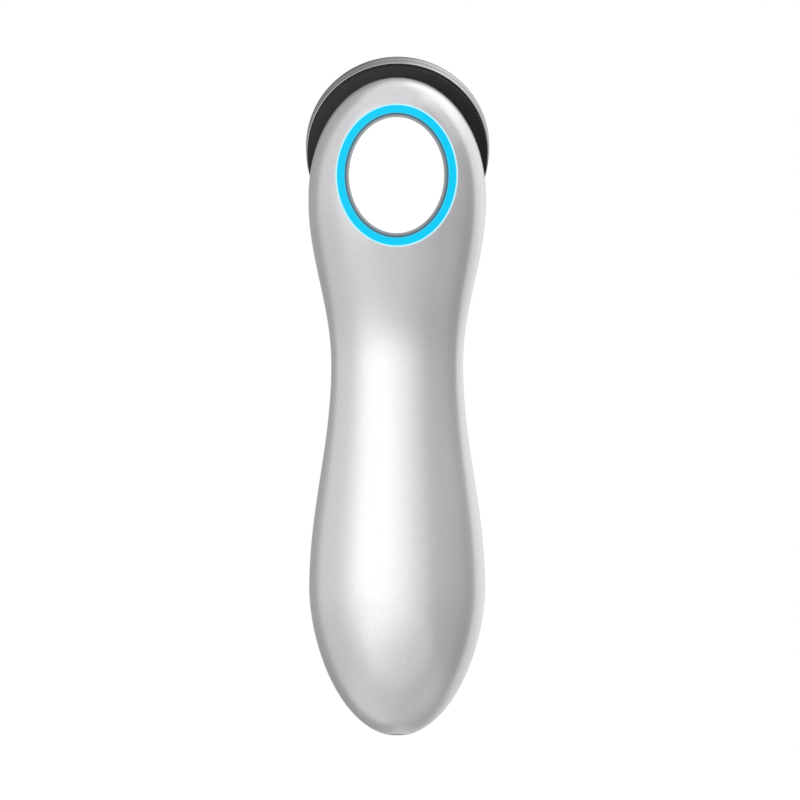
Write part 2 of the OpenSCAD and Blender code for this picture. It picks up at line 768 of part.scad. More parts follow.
module head_collar() color([0.07, 0.07, 0.075]) on_seat() difference() {
    rotate_extrude() polygon([
        [0, 0], [collar_r - 0.5, 0], [collar_r, 0.5], [collar_r, collar_h - 0.6],
        [collar_r - 0.5, collar_h - 0.6], [collar_r - 0.5, collar_h], [spigot_r, collar_h],
        [spigot_r, snap_low], [spigot_r + snap_d, snap_low + snap_t],
        [spigot_r + snap_d, snap_low + 2 * snap_t], [spigot_r, snap_low + 3 * snap_t],
        [spigot_r, lens_low - clear], [spigot_in, lens_low - clear], [spigot_in, collar_h],
        [spigot_in - board_ledge, collar_h], [spigot_in - board_ledge, collar_base], [0, collar_base]
    ]);
    collar_holes(screw_r + clear);
    translate([cable_x, 0, -1]) cylinder(r = cable_r, h = collar_base + 2);
    translate([0, 0, -1]) rotate_extrude() translate([seal_r - seal_d / 2 - clear, 0])
        square([seal_d + 2 * clear, 1 + seal_d]);
}

module collar_seal() color("dimgray") on_seat() translate([0, 0, seal_d / 2])
    rotate_extrude() translate([seal_r, 0]) circle(r = seal_d / 2 - 0.02);

module collar_screws() color("lightgray") on_seat()
    for (a = collar_screw_turns) rotate(a) translate([collar_screw_r, 0, collar_base]) screw();

// Outside of the electrode ring: a slightly tapered band, a fine groove, then a round bead
bead_low = electrode_low + 0.45 * electrode_h;
bead_r = (head_h - bead_low) / 2;
function bead(a) = [electrode_r - bead_r + bead_r * cos(a), bead_low + bead_r + bead_r * sin(a)];
electrode_profile = concat(
    [[spigot_r + clear, electrode_low], [electrode_r - 0.5, electrode_low],
        [electrode_r - 0.25, bead_low - 0.5], [electrode_r - 0.7, bead_low - 0.25],
        [electrode_r - 0.7, bead_low]],
    [for (a = [-50 : 10 : 90]) bead(a)],
    [[electrode_r - lip_w + 0.3, head_h], [electrode_r - lip_w, head_h - 0.3],
        [electrode_r - lip_w, lens_low + lens_flange + clear],
        [spigot_r + clear, lens_low + lens_flange + clear],
        [spigot_r + clear, snap_low + 3 * snap_t + clear],
        [spigot_r + clear + snap_d, snap_low + 2 * snap_t + clear],
        [spigot_r + clear + snap_d, snap_low + snap_t - clear], [spigot_r + clear, snap_low - clear]]
);

module electrode_ring() color([0.8, 0.81, 0.82]) on_seat() rotate_extrude() polygon(electrode_profile);

module led_board() color("darkgreen") on_seat() difference() {
    translate([0, 0, collar_h]) cylinder(r = spigot_in - clear, h = board_t);
    translate([0, 0, collar_h - 1]) cylinder(r = stud_r + clear, h = board_t + 2);
}

module treatment_leds() color("red") on_seat() for (i = [0 : led_count - 1])
    rotate(360 * i / led_count) translate([led_ring_r, 0, led_base]) rotate_extrude($fn = 32)
        polygon(concat([[0, 0], [led_r, 0]], [for (a = [0 : 15 : 90])
            [led_r * cos(a), reflector_top - clear - led_base - led_r * (1 - sin(a))]]));

module led_reflector() color("whitesmoke") on_seat() difference() {
    translate([0, 0, reflector_low]) rotate_extrude()
        translate([plate_r + insulator_w + 0.2, 0])
            square([spigot_in - clear - plate_r - insulator_w - 0.2, reflector_top - reflector_low]);
    for (i = [0 : led_count - 1]) rotate(360 * i / led_count)
        translate([led_ring_r, 0, reflector_low - 0.01])
            cylinder(r1 = led_r + 0.15, r2 = led_r + 0.75, h = reflector_top - reflector_low + 0.02);
}

module treatment_lens() color([0.95, 0.9, 0.9, 0.35]) on_seat() rotate_extrude() polygon([
    [plate_r + insulator_w + clear, lens_low], [spigot_r - clear, lens_low],
    [spigot_r - clear, lens_low + lens_flange], [lens_r, lens_low + lens_flange],
    [lens_r, lens_top - 0.2], [lens_r - 0.2, lens_top], [plate_r + insulator_w + clear, lens_top]
]);

dome_low = lens_top - 0.2;
dome_ball = (plate_r * plate_r + plate_rise * plate_rise) / (2 * plate_rise);

module contact_plate() color([0.8, 0.81, 0.82]) on_seat() rotate_extrude() polygon(concat(
    [[0, collar_h - nut_h - 0.4], [stud_r, collar_h - nut_h - 0.4], [stud_r, lens_low + 0.6],
        [plate_r, lens_low + 0.6]],
    [for (i = [12 : -1 : 0]) let (r = plate_r * i / 12)
        [r, dome_low + plate_rise - dome_ball + sqrt(dome_ball * dome_ball - r * r)]]
));

module plate_insulator() color([0.1, 0.1, 0.1]) on_seat() rotate_extrude() polygon([
    [stud_r + clear, led_base + 0.02], [plate_r - 4, led_base + 0.02], [plate_r - 4, lens_low - 0.4],
    [plate_r + insulator_w, lens_low - 0.4], [plate_r + insulator_w, lens_top],
    [plate_r + 0.04, lens_top], [plate_r + 0.04, lens_low + 0.55], [stud_r + clear, lens_low + 0.55]
]);

module plate_nut() color("goldenrod") on_seat() translate([0, 0, collar_h - nut_h - 0.02]) difference() {
    cylinder(r = 3.4, h = nut_h, $fn = 6);
    translate([0, 0, -1]) cylinder(r = stud_r + 0.03, h = nut_h + 2);
}

// Four wires from the main board's connector, through the seat, to the LED board
module head_lead() color("ivory") {
    translate([cable_x - connector_w / 2, board_back, connector_low])
        cube([connector_w, connector_h, connector_l]);
    low = connector_low + 0.6 * connector_l;
    far = collar_h - 0.02;
    for (i = [-1.5 : 1 : 1.5]) let (x = cable_x + i * strand_step)
        wire([[x, board_back + connector_h - strand_r, low], [x, board_back + connector_h + 1, low],
            [x, seat_y + far * cos(head_tilt), head_cz + far * sin(head_tilt)]], strand_r, 6, [1, 0, 0]);
}

// ---------------------------------------------------------------- assembly

front_casing();
rear_casing();
light_ring();
power_button();
switch_plunger();
return_springs();
button_switch();
main_board();
ring_leds();
cap_leds();
controller_chip();
boost_coil();
board_capacitors();
board_screws();
battery_cell();
battery_cradle();
battery_contacts();
cradle_screws();
battery_leads();
charging_socket();
socket_seal();
charging_board();
charging_board_screws();
charging_leads();
head_collar();
collar_seal();
collar_screws();
electrode_ring();
led_board();
treatment_leds();
led_reflector();
treatment_lens();
contact_plate();
plate_insulator();
plate_nut();
head_lead();
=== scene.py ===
"""Hand-held facial toning device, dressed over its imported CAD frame.

Lengths in the classes are millimetres in the frame of the CAD: +Z runs up the handle from the
mouth of the charging socket, the button faces -Y and the treatment head faces +Y. A mesh turns to
metres when it is finished.
"""

from __future__ import annotations

import logging
import math
from collections.abc import Callable, Iterable, Mapping, Sequence
from dataclasses import dataclass, field
from enum import Enum

import bmesh
import bpy
from mathutils import Euler, Matrix, Vector

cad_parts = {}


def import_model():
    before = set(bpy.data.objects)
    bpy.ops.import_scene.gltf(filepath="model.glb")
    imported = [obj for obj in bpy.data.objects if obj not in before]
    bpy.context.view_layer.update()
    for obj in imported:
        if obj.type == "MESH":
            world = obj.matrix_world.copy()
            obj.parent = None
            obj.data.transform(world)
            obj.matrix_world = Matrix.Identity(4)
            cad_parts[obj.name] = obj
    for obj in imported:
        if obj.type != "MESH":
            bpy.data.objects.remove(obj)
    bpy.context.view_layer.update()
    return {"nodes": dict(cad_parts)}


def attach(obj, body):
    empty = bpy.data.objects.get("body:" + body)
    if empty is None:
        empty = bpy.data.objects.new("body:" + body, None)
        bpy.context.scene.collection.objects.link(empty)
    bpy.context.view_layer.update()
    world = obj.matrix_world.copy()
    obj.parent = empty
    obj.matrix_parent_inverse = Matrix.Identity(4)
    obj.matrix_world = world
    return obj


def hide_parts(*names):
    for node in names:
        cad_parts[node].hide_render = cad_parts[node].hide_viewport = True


LOG = logging.getLogger("toning_device")
MM = 0.001
TINY = 1e-6
WELD = 1e-4
LOOSE_WELD = 1e-3

Colour = tuple[float, float, float]
Profile = list[tuple[float, ...]]
Stops = tuple[tuple[float, float], ...]
Mesh = bmesh.types.BMesh
Vert = bmesh.types.BMVert
Edge = bmesh.types.BMEdge
Socket = bpy.types.NodeSocket


class Body(Enum):
    """The two bodies that pieces ride on."""

    HANDLE = "handle"
    BUTTON = "button"


class Side(Enum):
    """The two halves of the casing."""

    FRONT = -1
    REAR = 1


# ----mesh helpers


def add_object(name: str, data: bpy.types.ID) -> bpy.types.Object:
    """Puts an object into the scene, at the origin.

    Args:
        name: The object's name.
        data: Its mesh, camera or light.

    Returns:
        The new object.
    """
    made = bpy.data.objects.new(name, data)
    bpy.context.scene.collection.objects.link(made)
    return made


def add_mesh(bm: Mesh, name: str, material: bpy.types.Material) -> bpy.types.Object:
    """Turns a mesh in millimetres into an object in metres.

    Args:
        bm: The mesh, which is freed.
        name: The object's name.
        material: The material of its first slot.

    Returns:
        The new object.
    """
    bmesh.ops.scale(bm, vec=(MM, MM, MM), verts=bm.verts)
    mesh = bpy.data.meshes.new(name)
    bm.to_mesh(mesh)
    bm.free()
    mesh.materials.append(material)
    return add_object(name, mesh)


def finish_piece(
    bm: Mesh, name: str, body: Body, nodes: Sequence[str], finish: Finish
) -> bpy.types.Object:
    """Turns a mesh in millimetres into a smooth piece at the origin that rides on its body.

    Args:
        bm: The mesh, which is freed.
        name: The piece's name.
        body: The body it rides on.
        nodes: The CAD nodes it stands for.
        finish: The finish of its first material slot.

    Returns:
        The new object.
    """
    for face in bm.faces:
        face.smooth = True
    piece = add_mesh(bm, name, finish.material())
    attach(piece, body.value)
    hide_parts(*nodes)
    LOG.info("%s: %d faces, rides on %s", name, len(piece.data.polygons), body.value)
    return piece


def only(kind: type, geom: Iterable[object]) -> list:
    """Keeps the elements of one kind."""
    return [element for element in geom if isinstance(element, kind)]


def drawn_out(bm: Mesh, edges: Sequence[Edge]) -> tuple[list[Vert], list[Edge]]:
    """Extrudes a row of edges.

    Args:
        bm: The mesh.
        edges: The row.

    Returns:
        The vertices and the edges of the new row.
    """
    made = bmesh.ops.extrude_edge_only(bm, edges=edges)["geom"]
    verts = only(Vert, made)
    fresh = set(verts)
    return verts, [edge for edge in only(Edge, made) if all(v in fresh for v in edge.verts)]


@dataclass(frozen=True)
class Corner:
    """One corner of a turned profile: radius, height and how much it is rounded."""

    r: float
    h: float
    round: float = 0.0

    def has(self, vert: Vert) -> bool:
        """Whether a vertex lies on the circle that this corner draws."""
        across = math.hypot(vert.co.x, vert.co.y)
        return abs(vert.co.z - self.h) < LOOSE_WELD and abs(across - self.r) < LOOSE_WELD

    def soften(self, bm: Mesh) -> None:
        """Rounds the circle of edges that this corner has drawn.

        Args:
            bm: The turned mesh.
        """
        bmesh.ops.bevel(
            bm,
            geom=[edge for edge in bm.edges if all(self.has(vert) for vert in edge.verts)],
            offset=self.round,
            affect="EDGES",
            segments=4,
            profile=0.5,
            material=-1,
            clamp_overlap=True,
        )


def turned(profile: Profile, steps: int = 224, closed: bool = True) -> Mesh:
    """Turns a profile about the Z axis and rounds its corners.

    Args:
        profile: The corners in order: radius, height and, where it has one, rounding.
        steps: Steps of the full turn.
        closed: Whether the last corner joins the first.

    Returns:
        The turned mesh, with its faces outwards.
    """
    corners = [Corner(*sizes) for sizes in profile]
    bm = bmesh.new()
    verts = [bm.verts.new((corner.r, 0, corner.h)) for corner in corners]
    pairs = list(zip(verts, verts[1:])) + ([(verts[-1], verts[0])] if closed else [])
    edges = [bm.edges.new(pair) for pair in pairs]
    bmesh.ops.spin(
        bm,
        geom=verts + edges,
        cent=(0, 0, 0),
        axis=(0, 0, 1),
        angle=math.tau,
        steps=steps,
        use_merge=True,
    )
    bmesh.ops.remove_doubles(bm, verts=bm.verts, dist=WELD)
    bmesh.ops.recalc_face_normals(bm, faces=bm.faces)
    for corner in corners:
        if corner.round:
            corner.soften(bm)
    return bm


def quarter(r: float, h: float, radius: float, steps: int, first: int = 0) -> Profile:
    """Corners on a quarter circle, from its outermost point up to its highest.

    Args:
        r: Radius at the circle's centre.
        h: Height of the circle's centre.
        radius: The circle's own radius.
        steps: Steps of the quarter.
        first: The first step that is kept.

    Returns:
        The corners in order.
    """
    turns = [math.radians(90 * step / steps) for step in range(first, steps + 1)]
    return [(r + radius * math.cos(turn), h + radius * math.sin(turn)) for turn in turns]


# ----body form


def eased(a: float, b: float, t: float) -> float:
    """Value from a to b with level ends, as t goes from 0 to 1."""
    return a + (b - a) * (1 - math.cos(math.pi * min(max(t, 0.0), 1.0))) / 2


def closing(u: float, fullness: float, blunt: float = 2.0) -> float:
    """Rounded end: 1 at u = 0, closing to 0 at u = 1."""
    return max(0.0, 1 - max(0.0, u) ** fullness) ** (1 / blunt)


@dataclass(frozen=True)
class BodyForm:
    """The outer form of the handle, in the same sizes as the CAD."""

    length: float = 184.5
    crown_h: float = 34.5
    head_w: float = 49.8
    waist_z: float = 104.0
    waist_w: float = 37.0
    bulge_z: float = 41.0
    bulge_w: float = 49.4
    head_front: float = 22.4
    face_rise: float = 6.0
    waist_front: float = 13.4
    waist_back: float = 13.6
    bulge_front: float = 19.5
    bulge_back: float = 19.5
    seam_y: float = 2.0
    head_tilt: float = math.radians(12)
    head_cz: float = 162.5
    seat_y: float = 8.5
    seat_r: float = 25.0
    tail_round: float = 0.25
    tail_fullness: float = 1.75
    crown_fullness: float = 2.15
    face_crown_fullness: float = 4.0
    body_fullness: float = 2.1
    face_fullness: float = 2.8
    back_fullness: float = 2.4
    wall_draft: float = 0.98
    tip_way: float = 3.6
    least_side: float = 1.0
    least: float = 1e-4
    halvings: int = 24

    @property
    def head_z(self) -> float:
        """Height of the widest point of the head."""
        return self.length - self.crown_h

    @property
    def face_z(self) -> float:
        """Height at which the front of the head is deepest."""
        return self.head_z + self.face_rise

    @property
    def neck_z(self) -> float:
        """Height of the foot of the collar's seat."""
        return self.head_cz - self.seat_r * math.cos(self.head_tilt)

    def run(self, z: float, tail: float, waist: float, head: float, top: float) -> float:
        """Runs a half-size of the body through its tail, waist and head.

        Args:
            z: Height.
            tail: The value at the bulge.
            waist: The value at the waist.
            head: The value at the top.
            top: Height of the top.

        Returns:
            The half-size at that height.
        """
        if z < self.bulge_z:
            share = (self.bulge_z - z) / (self.bulge_z + self.tail_round)
            return tail * closing(share, self.tail_fullness)
        if z < self.waist_z:
            return eased(tail, waist, (z - self.bulge_z) / (self.waist_z - self.bulge_z))
        return eased(waist, head, (z - self.waist_z) / (top - self.waist_z))

    def half_w(self, z: float) -> float:
        """Half-width at height z."""
        side = self.run(z, self.bulge_w / 2, self.waist_w / 2, self.head_w / 2, self.head_z)
        return side * closing((z - self.head_z) / self.crown_h, self.crown_fullness)

    def front_d(self, z: float) -> float:
        """Depth of the front, which closes bluntly at the crown.

        Args:
            z: Height.

        Returns:
            The depth.
        """
        depth = self.run(z, self.bulge_front, self.waist_front, self.head_front, self.face_z)
        blunt = self.face_crown_fullness
        return depth * closing((z - self.head_z) / self.crown_h, blunt, blunt)

    def seat_at(self, z: float) -> float:
        """Depth of the head's seat plane at height z."""
        return self.seat_y - (z - self.head_cz) * math.tan(self.head_tilt)

    def neck_back(self, z: float) -> float:
        """Eases the back from the waist, where it is level, into the seat plane.

        Args:
            z: Height, from the waist to the foot of the seat.

        Returns:
            The back's depth.
        """
        span = self.neck_z - self.waist_z
        t, slope = (z - self.waist_z) / span, -math.tan(self.head_tilt)
        low = self.waist_back * (2 * t**3 - 3 * t**2 + 1)
        high = self.seat_at(self.neck_z) * (3 * t**2 - 2 * t**3)
        return low + high + slope * span * (t**3 - t**2)

    def back_d(self, z: float) -> float:
        """Depth of the back, which runs into the seat plane and flares to the collar.

        Args:
            z: Height.

        Returns:
            The depth.
        """
        if z < self.waist_z:
            return self.run(z, self.bulge_back, self.waist_back, self.waist_back, self.head_z)
        if z < self.neck_z:
            return self.neck_back(z)
        across = (z - self.head_cz) / math.cos(self.head_tilt)
        seat_half = math.sqrt(max(0.0, self.seat_r**2 - across**2))
        share = min(self.wall_draft, seat_half / max(self.half_w(z), self.least_side))
        full = self.back_fullness
        return self.seat_at(z) / (1 - share**full) ** (1 / full)

    def front_fullness(self, z: float) -> float:
        """Fullness of the front's section at height z."""
        share = (z - self.waist_z) / (self.face_z - self.waist_z)
        return eased(self.body_fullness, self.face_fullness, share)

    def dome_y(self, x: float, z: float) -> float:
        """Depth of the front surface at a point of the front view."""
        full = self.front_fullness(z)
        return -self.front_d(z) * closing(abs(x) / self.half_w(z), full, full)

    def radius(self, turn: float, z: float) -> float:
        """Measures the section at one height.

        Args:
            turn: Direction from the handle's axis, 0 to the right.
            z: Height.

        Returns:
            Distance of the surface from the axis.
        """
        front = math.sin(turn) < 0
        full = self.front_fullness(z) if front else self.back_fullness
        width = max(self.half_w(z), self.least)
        depth = max(self.front_d(z) if front else self.back_d(z), self.least)
        spread = (abs(math.cos(turn)) / width) ** full + (abs(math.sin(turn)) / depth) ** full
        return spread ** (-1 / full)

    def seam_turn(self, z: float) -> float:
        """Finds the seam at one height.

        Args:
            z: Height.

        Returns:
            Direction of the seam on the right.
        """
        full, depth = self.back_fullness, max(self.back_d(z), self.least)
        out = max(self.half_w(z), self.least) * closing(self.seam_y / depth, full, full)
        return math.atan2(self.seam_y, out)

    def height(self, t: float) -> float:
        """Spreads rows over the body, with rows crowding at both round ends.

        Args:
            t: The row's share of the way up.

        Returns:
            The row's height.
        """
        tail, crown = self.bulge_z * math.pi / 2, self.crown_h * math.pi / 2
        grip = self.head_z - self.bulge_z
        way = self.tip_way + t * (tail + grip + crown - self.tip_way)
        if way < tail:
            return self.bulge_z * (1 - math.cos(way / self.bulge_z))
        if way < tail + grip:
            return self.bulge_z + way - tail
        turn = min((way - tail - grip) / self.crown_h, math.pi / 2)
        return self.head_z + self.crown_h * math.sin(turn)

    def skin(self, turn: float, z: float) -> Vector:
        """Point of the surface in a direction at height z."""
        r = self.radius(turn, z)
        return Vector((r * math.cos(turn), r * math.sin(turn), z))

    def hole_edge(self, turn: float, hole_r: float) -> Vector:
        """Finds where the surface at the tail's tip meets the round hole of the socket.

        Args:
            turn: Direction from the handle's axis.
            hole_r: Radius of the hole.

        Returns:
            The point on the hole's rim.
        """
        low, high = 0.0, 1.0
        for _ in range(self.halvings):
            middle = (low + high) / 2
            if self.radius(turn, middle) < hole_r:
                low = middle
            else:
                high = middle
        return Vector((hole_r * math.cos(turn), hole_r * math.sin(turn), high))


FORM = BodyForm()


@dataclass(frozen=True)
class ButtonOval:
    """The oval that the light ring and the button share."""

    z: float = 157.2
    a: float = 17.0
    b: float = 19.9

    def point(self, turn: float, grow: float = 0.0, scale: float = 1.0) -> tuple[float, float]:
        """Point of the oval in the front view, grown by a distance or scaled about its centre."""
        x = (self.a + grow) * scale * math.cos(turn)
        return x, self.z + (self.b + grow) * scale * math.sin(turn)


OVAL = ButtonOval()


# ----shader helpers


class MixSocket(Enum):
    """Places of a colour Mix node's sockets."""

    SHARE = 0
    FIRST = 6
    SECOND = 7
    RESULT = 2


class NodeSheet:
    """Adds and joins nodes in one node tree."""

    def __init__(self, tree: bpy.types.NodeTree) -> None:
        """Keeps the tree."""
        self.tree = tree

    def feed(self, target: Socket, value: object) -> None:
        """Fills an input.

        Args:
            target: The input.
            value: A socket to join it to, or its number, vector or colour.
        """
        if isinstance(value, bpy.types.NodeSocket):
            self.tree.links.new(value, target)
        elif target.type == "RGBA":
            target.default_value = (*value, 1.0)
        else:
            target.default_value = value

    def add(
        self, kind: str, inputs: Mapping[str | int, object] | None = None, **settings: object
    ) -> bpy.types.Node:
        """Adds a shader node.

        Args:
            kind: The node's kind.
            inputs: Sockets or values for its inputs, by name or place.
            settings: Its properties.

        Returns:
            The node.
        """
        node = self.tree.nodes.new("ShaderNode" + kind)
        for key, value in settings.items():
            setattr(node, key, value)
        for key, value in (inputs or {}).items():
            self.feed(node.inputs[key], value)
        return node

    def math(self, operation: str, *values: object) -> Socket:
        """Adds a Math node for sockets or numbers, and returns its output."""
        return self.add("Math", dict(enumerate(values)), operation=operation).outputs[0]

    def mix(self, share: object, a: object, b: object) -> Socket:
        """Adds a colour Mix node.

        Args:
            share: Share of the second colour.
            a: The first colour, as a socket or numbers.
            b: The second.

        Returns:
            The mixed colour.
        """
        places = (MixSocket.SHARE, MixSocket.FIRST, MixSocket.SECOND)
        inputs = {place.value: value for place, value in zip(places, (share, a, b))}
        return self.add("Mix", inputs, data_type="RGBA").outputs[MixSocket.RESULT.value]

    def ramp(self, source: Socket, stops: Iterable[tuple[float, float]]) -> Socket:
        """Adds a grey ramp.

        Args:
            source: What the ramp reads.
            stops: Position and grey level of each stop.

        Returns:
            Its grey level.
        """
        node = self.add("ValToRGB", {0: source})
        node.color_ramp.interpolation = "EASE"
        elements = node.color_ramp.elements
        while len(elements) > 1:
            elements.remove(elements[-1])
        for index, (position, grey) in enumerate(stops):
            element = elements.new(position) if index else elements[0]
            element.position = position
            element.color = (grey, grey, grey, 1)
        return node.outputs[0]


def make_group(
    name: str,
    inputs: Mapping[str, float],
    outputs: Sequence[str],
    fill: Callable[[NodeSheet, Mapping[str, Socket]], list[Socket]],
) -> bpy.types.NodeTree:
    """Makes a shader node group once and returns it afterwards.

    Args:
        name: The group's name.
        inputs: Its number inputs and their defaults. Every group also has a Vector input.
        outputs: Its number outputs.
        fill: Adds the nodes, given the sheet and the group's inputs, and returns the outputs.

    Returns:
        The group.
    """
    if name in bpy.data.node_groups:
        return bpy.data.node_groups[name]
    tree = bpy.data.node_groups.new(name, "ShaderNodeTree")
    tree.interface.new_socket("Vector", in_out="INPUT", socket_type="NodeSocketVector")
    for key, value in inputs.items():
        socket = tree.interface.new_socket(key, in_out="INPUT", socket_type="NodeSocketFloat")
        socket.default_value = value
    for key in outputs:
        tree.interface.new_socket(key, in_out="OUTPUT", socket_type="NodeSocketFloat")
    sheet = NodeSheet(tree)
    results = fill(sheet, tree.nodes.new("NodeGroupInput").outputs)
    end = tree.nodes.new("NodeGroupOutput")
    for key, result in zip(outputs, results):
        sheet.feed(end.inputs[key], result)
    return tree


def grain_group() -> bpy.types.NodeTree:
    """Fine moulded or sprayed grain: a height, and a slow patchiness for the roughness.

    Returns:
        The group.
    """
    details = {"Grain": 3.0, "Patch": 2.0}
    scales = {"Grain": 4000.0, "Patch": 30.0}

    def fill(sheet: NodeSheet, given: Mapping[str, Socket]) -> list[Socket]:
        """Adds a fine noise and a slow one.

        Args:
            sheet: The group's nodes.
            given: The group's inputs.

        Returns:
            Both noises.
        """
        kept = {"Vector": given["Vector"]}
        sizes = [{"Scale": given[key], "Detail": detail} for key, detail in details.items()]
        return [sheet.add("TexNoise", kept | size).outputs[0] for size in sizes]

    return make_group("moulded grain", scales, ("Height", "Patches"), fill)


def turned_line_group() -> bpy.types.NodeTree:
    """Fine lines left by turning: they follow the radius on a face and the height on a side.

    Returns:
        The group.
    """
    height_share, detail = 1.7, 2.0

    def fill(sheet: NodeSheet, given: Mapping[str, Socket]) -> list[Socket]:
        """Adds a noise that runs along the radius and the height.

        Args:
            sheet: The group's nodes.
            given: The group's inputs.

        Returns:
            The noise.
        """
        x, y, z = sheet.add("SeparateXYZ", {0: given["Vector"]}).outputs
        squares = [sheet.math("MULTIPLY", axis, axis) for axis in (x, y)]
        across = sheet.math("SQRT", sheet.math("ADD", *squares))
        way = sheet.math("SUBTRACT", across, sheet.math("MULTIPLY", z, height_share))
        lines = sheet.math("MULTIPLY", way, given["Lines"])
        inputs = {"W": lines, "Detail": detail, "Scale": 1.0}
        return [sheet.add("TexNoise", inputs, noise_dimensions="1D").outputs[0]]

    return make_group("turned lines", {"Lines": 3000.0}, ("Height",), fill)


# ----finishes


@dataclass(frozen=True)
class Finish:
    """A plain finish that other finishes build on."""

    name: str
    colour: Colour
    roughness: float = 0.4
    metallic: float = 0.0

    def material(self) -> bpy.types.Material:
        """Makes this finish's material on its first use.

        Returns:
            The material.
        """
        if self.name in bpy.data.materials:
            return bpy.data.materials[self.name]
        material = bpy.data.materials.new(self.name)
        material.use_nodes = True
        sheet = NodeSheet(material.node_tree)
        shader = next(n for n in material.node_tree.nodes if n.type == "BSDF_PRINCIPLED")
        for key, value in self.surface(sheet).items():
            sheet.feed(shader.inputs[key], value)
        return material

    def surface(self, sheet: NodeSheet) -> dict[str, object]:
        """Gives a value or a socket for each of the shader's inputs that this finish sets.

        Args:
            sheet: The material's nodes.

        Returns:
            The shader's inputs.
        """
        return {
            "Base Color": self.colour,
            "Roughness": self.roughness,
            "Metallic": self.metallic,
        }

    @staticmethod
    def place(sheet: NodeSheet) -> Socket:
        """Object coordinates."""
        return sheet.add("TexCoord").outputs["Object"]

    def grain(self, sheet: NodeSheet, grain: float, patch: float) -> Mapping[str, Socket]:
        """Adds the grain group with this finish's own values, and returns its outputs."""
        inputs = {"Vector": self.place(sheet), "Grain": grain, "Patch": patch}
        return sheet.add("Group", inputs, node_tree=grain_group()).outputs

    @staticmethod
    def bump(sheet: NodeSheet, height: Socket, strength: float, depth: float) -> Socket:
        """Turns a height into a normal, with its depth in millimetres."""
        inputs = {"Strength": strength, "Distance": depth * MM, "Height": height}
        return sheet.add("Bump", inputs).outputs[0]

    def uneven(self, sheet: NodeSheet, source: Socket, less: float, more: float) -> Socket:
        """Varies the roughness.

        Args:
            sheet: The material's nodes.
            source: A noise, which stays within about 0.3 and 0.7.
            less: How much less rough it gets.
            more: How much more.

        Returns:
            The roughness.
        """
        inputs = {
            "Value": source,
            "From Min": 0.3,
            "From Max": 0.7,
            "To Min": self.roughness - less,
            "To Max": self.roughness + more,
        }
        return sheet.add("MapRange", inputs).outputs[0]


@dataclass(frozen=True)
class Moulding(Finish):
    """Moulded plastic or rubber with its own grain."""

    grain_scale: float = 3500.0
    grain_depth: float = 0.01
    grain_strength: float = 0.5
    patch_scale: float = 60.0
    patchiness: float = 0.06
    specular: float = 0.5

    def surface(self, sheet: NodeSheet) -> dict[str, object]:
        """Adds grain and uneven gloss.

        Args:
            sheet: The material's nodes.

        Returns:
            The shader's inputs.
        """
        grain, spread = self.grain(sheet, self.grain_scale, self.patch_scale), self.patchiness
        return super().surface(sheet) | {
            "Normal": self.bump(sheet, grain["Height"], self.grain_strength, self.grain_depth),
            "Roughness": self.uneven(sheet, grain["Patches"], spread, spread),
            "Specular IOR Level": self.specular,
        }


@dataclass(frozen=True)
class PearlPaint(Finish):
    """Pearl silver: fine bright flakes under a clear coat, with the marks of handling."""

    coat: float = 0.6
    coat_roughness: float = 0.06
    coat_ior: float = 1.5
    flake_scale: float = 6000.0
    dark_flake: float = 0.93
    light_flake: float = 1.06
    mark_scale: float = 900.0
    mark_patch: float = 25.0
    marks: float = 0.02

    def surface(self, sheet: NodeSheet) -> dict[str, object]:
        """Adds the flakes, the coat and the marks.

        Args:
            sheet: The material's nodes.

        Returns:
            The shader's inputs.
        """
        inputs = {"Scale": self.flake_scale, "Vector": self.place(sheet)}
        flakes = sheet.add("TexVoronoi", inputs).outputs["Color"]
        glint = sheet.add("SeparateColor", {0: flakes}).outputs[0]
        dark = tuple(self.dark_flake * c for c in self.colour)
        light = tuple(min(1.0, self.light_flake * c) for c in self.colour)
        patches = self.grain(sheet, self.mark_scale, self.mark_patch)["Patches"]
        return super().surface(sheet) | {
            "Base Color": sheet.mix(glint, dark, light),
            "Roughness": self.uneven(sheet, patches, self.marks, self.marks),
            "Coat Weight": self.coat,
            "Coat Roughness": self.coat_roughness,
            "Coat IOR": self.coat_ior,
        }


@dataclass(frozen=True)
class TurnedMetal(Finish):
    """Bright plated metal with fine turned lines about the treatment head's axis."""

    lines: float = 3000.0
    line_depth: float = 0.02
    smoother: float = 0.04
    rougher: float = 0.05

    def surface(self, sheet: NodeSheet) -> dict[str, object]:
        """Adds the turned lines in the head's own frame.

        Args:
            sheet: The material's nodes.

        Returns:
            The shader's inputs.
        """
        inputs = {
            "Location": (0, FORM.seat_y * MM, FORM.head_cz * MM),
            "Rotation": (FORM.head_tilt - math.pi / 2, 0, 0),
            "Vector": self.place(sheet),
        }
        about_axis = sheet.add("Mapping", inputs, vector_type="TEXTURE").outputs[0]
        inputs = {"Lines": self.lines, "Vector": about_axis}
        height = sheet.add("Group", inputs, node_tree=turned_line_group()).outputs["Height"]
        return super().surface(sheet) | {
            "Normal": self.bump(sheet, height, 1.0, self.line_depth),
            "Roughness": self.uneven(sheet, height, self.smoother, self.rougher),
        }


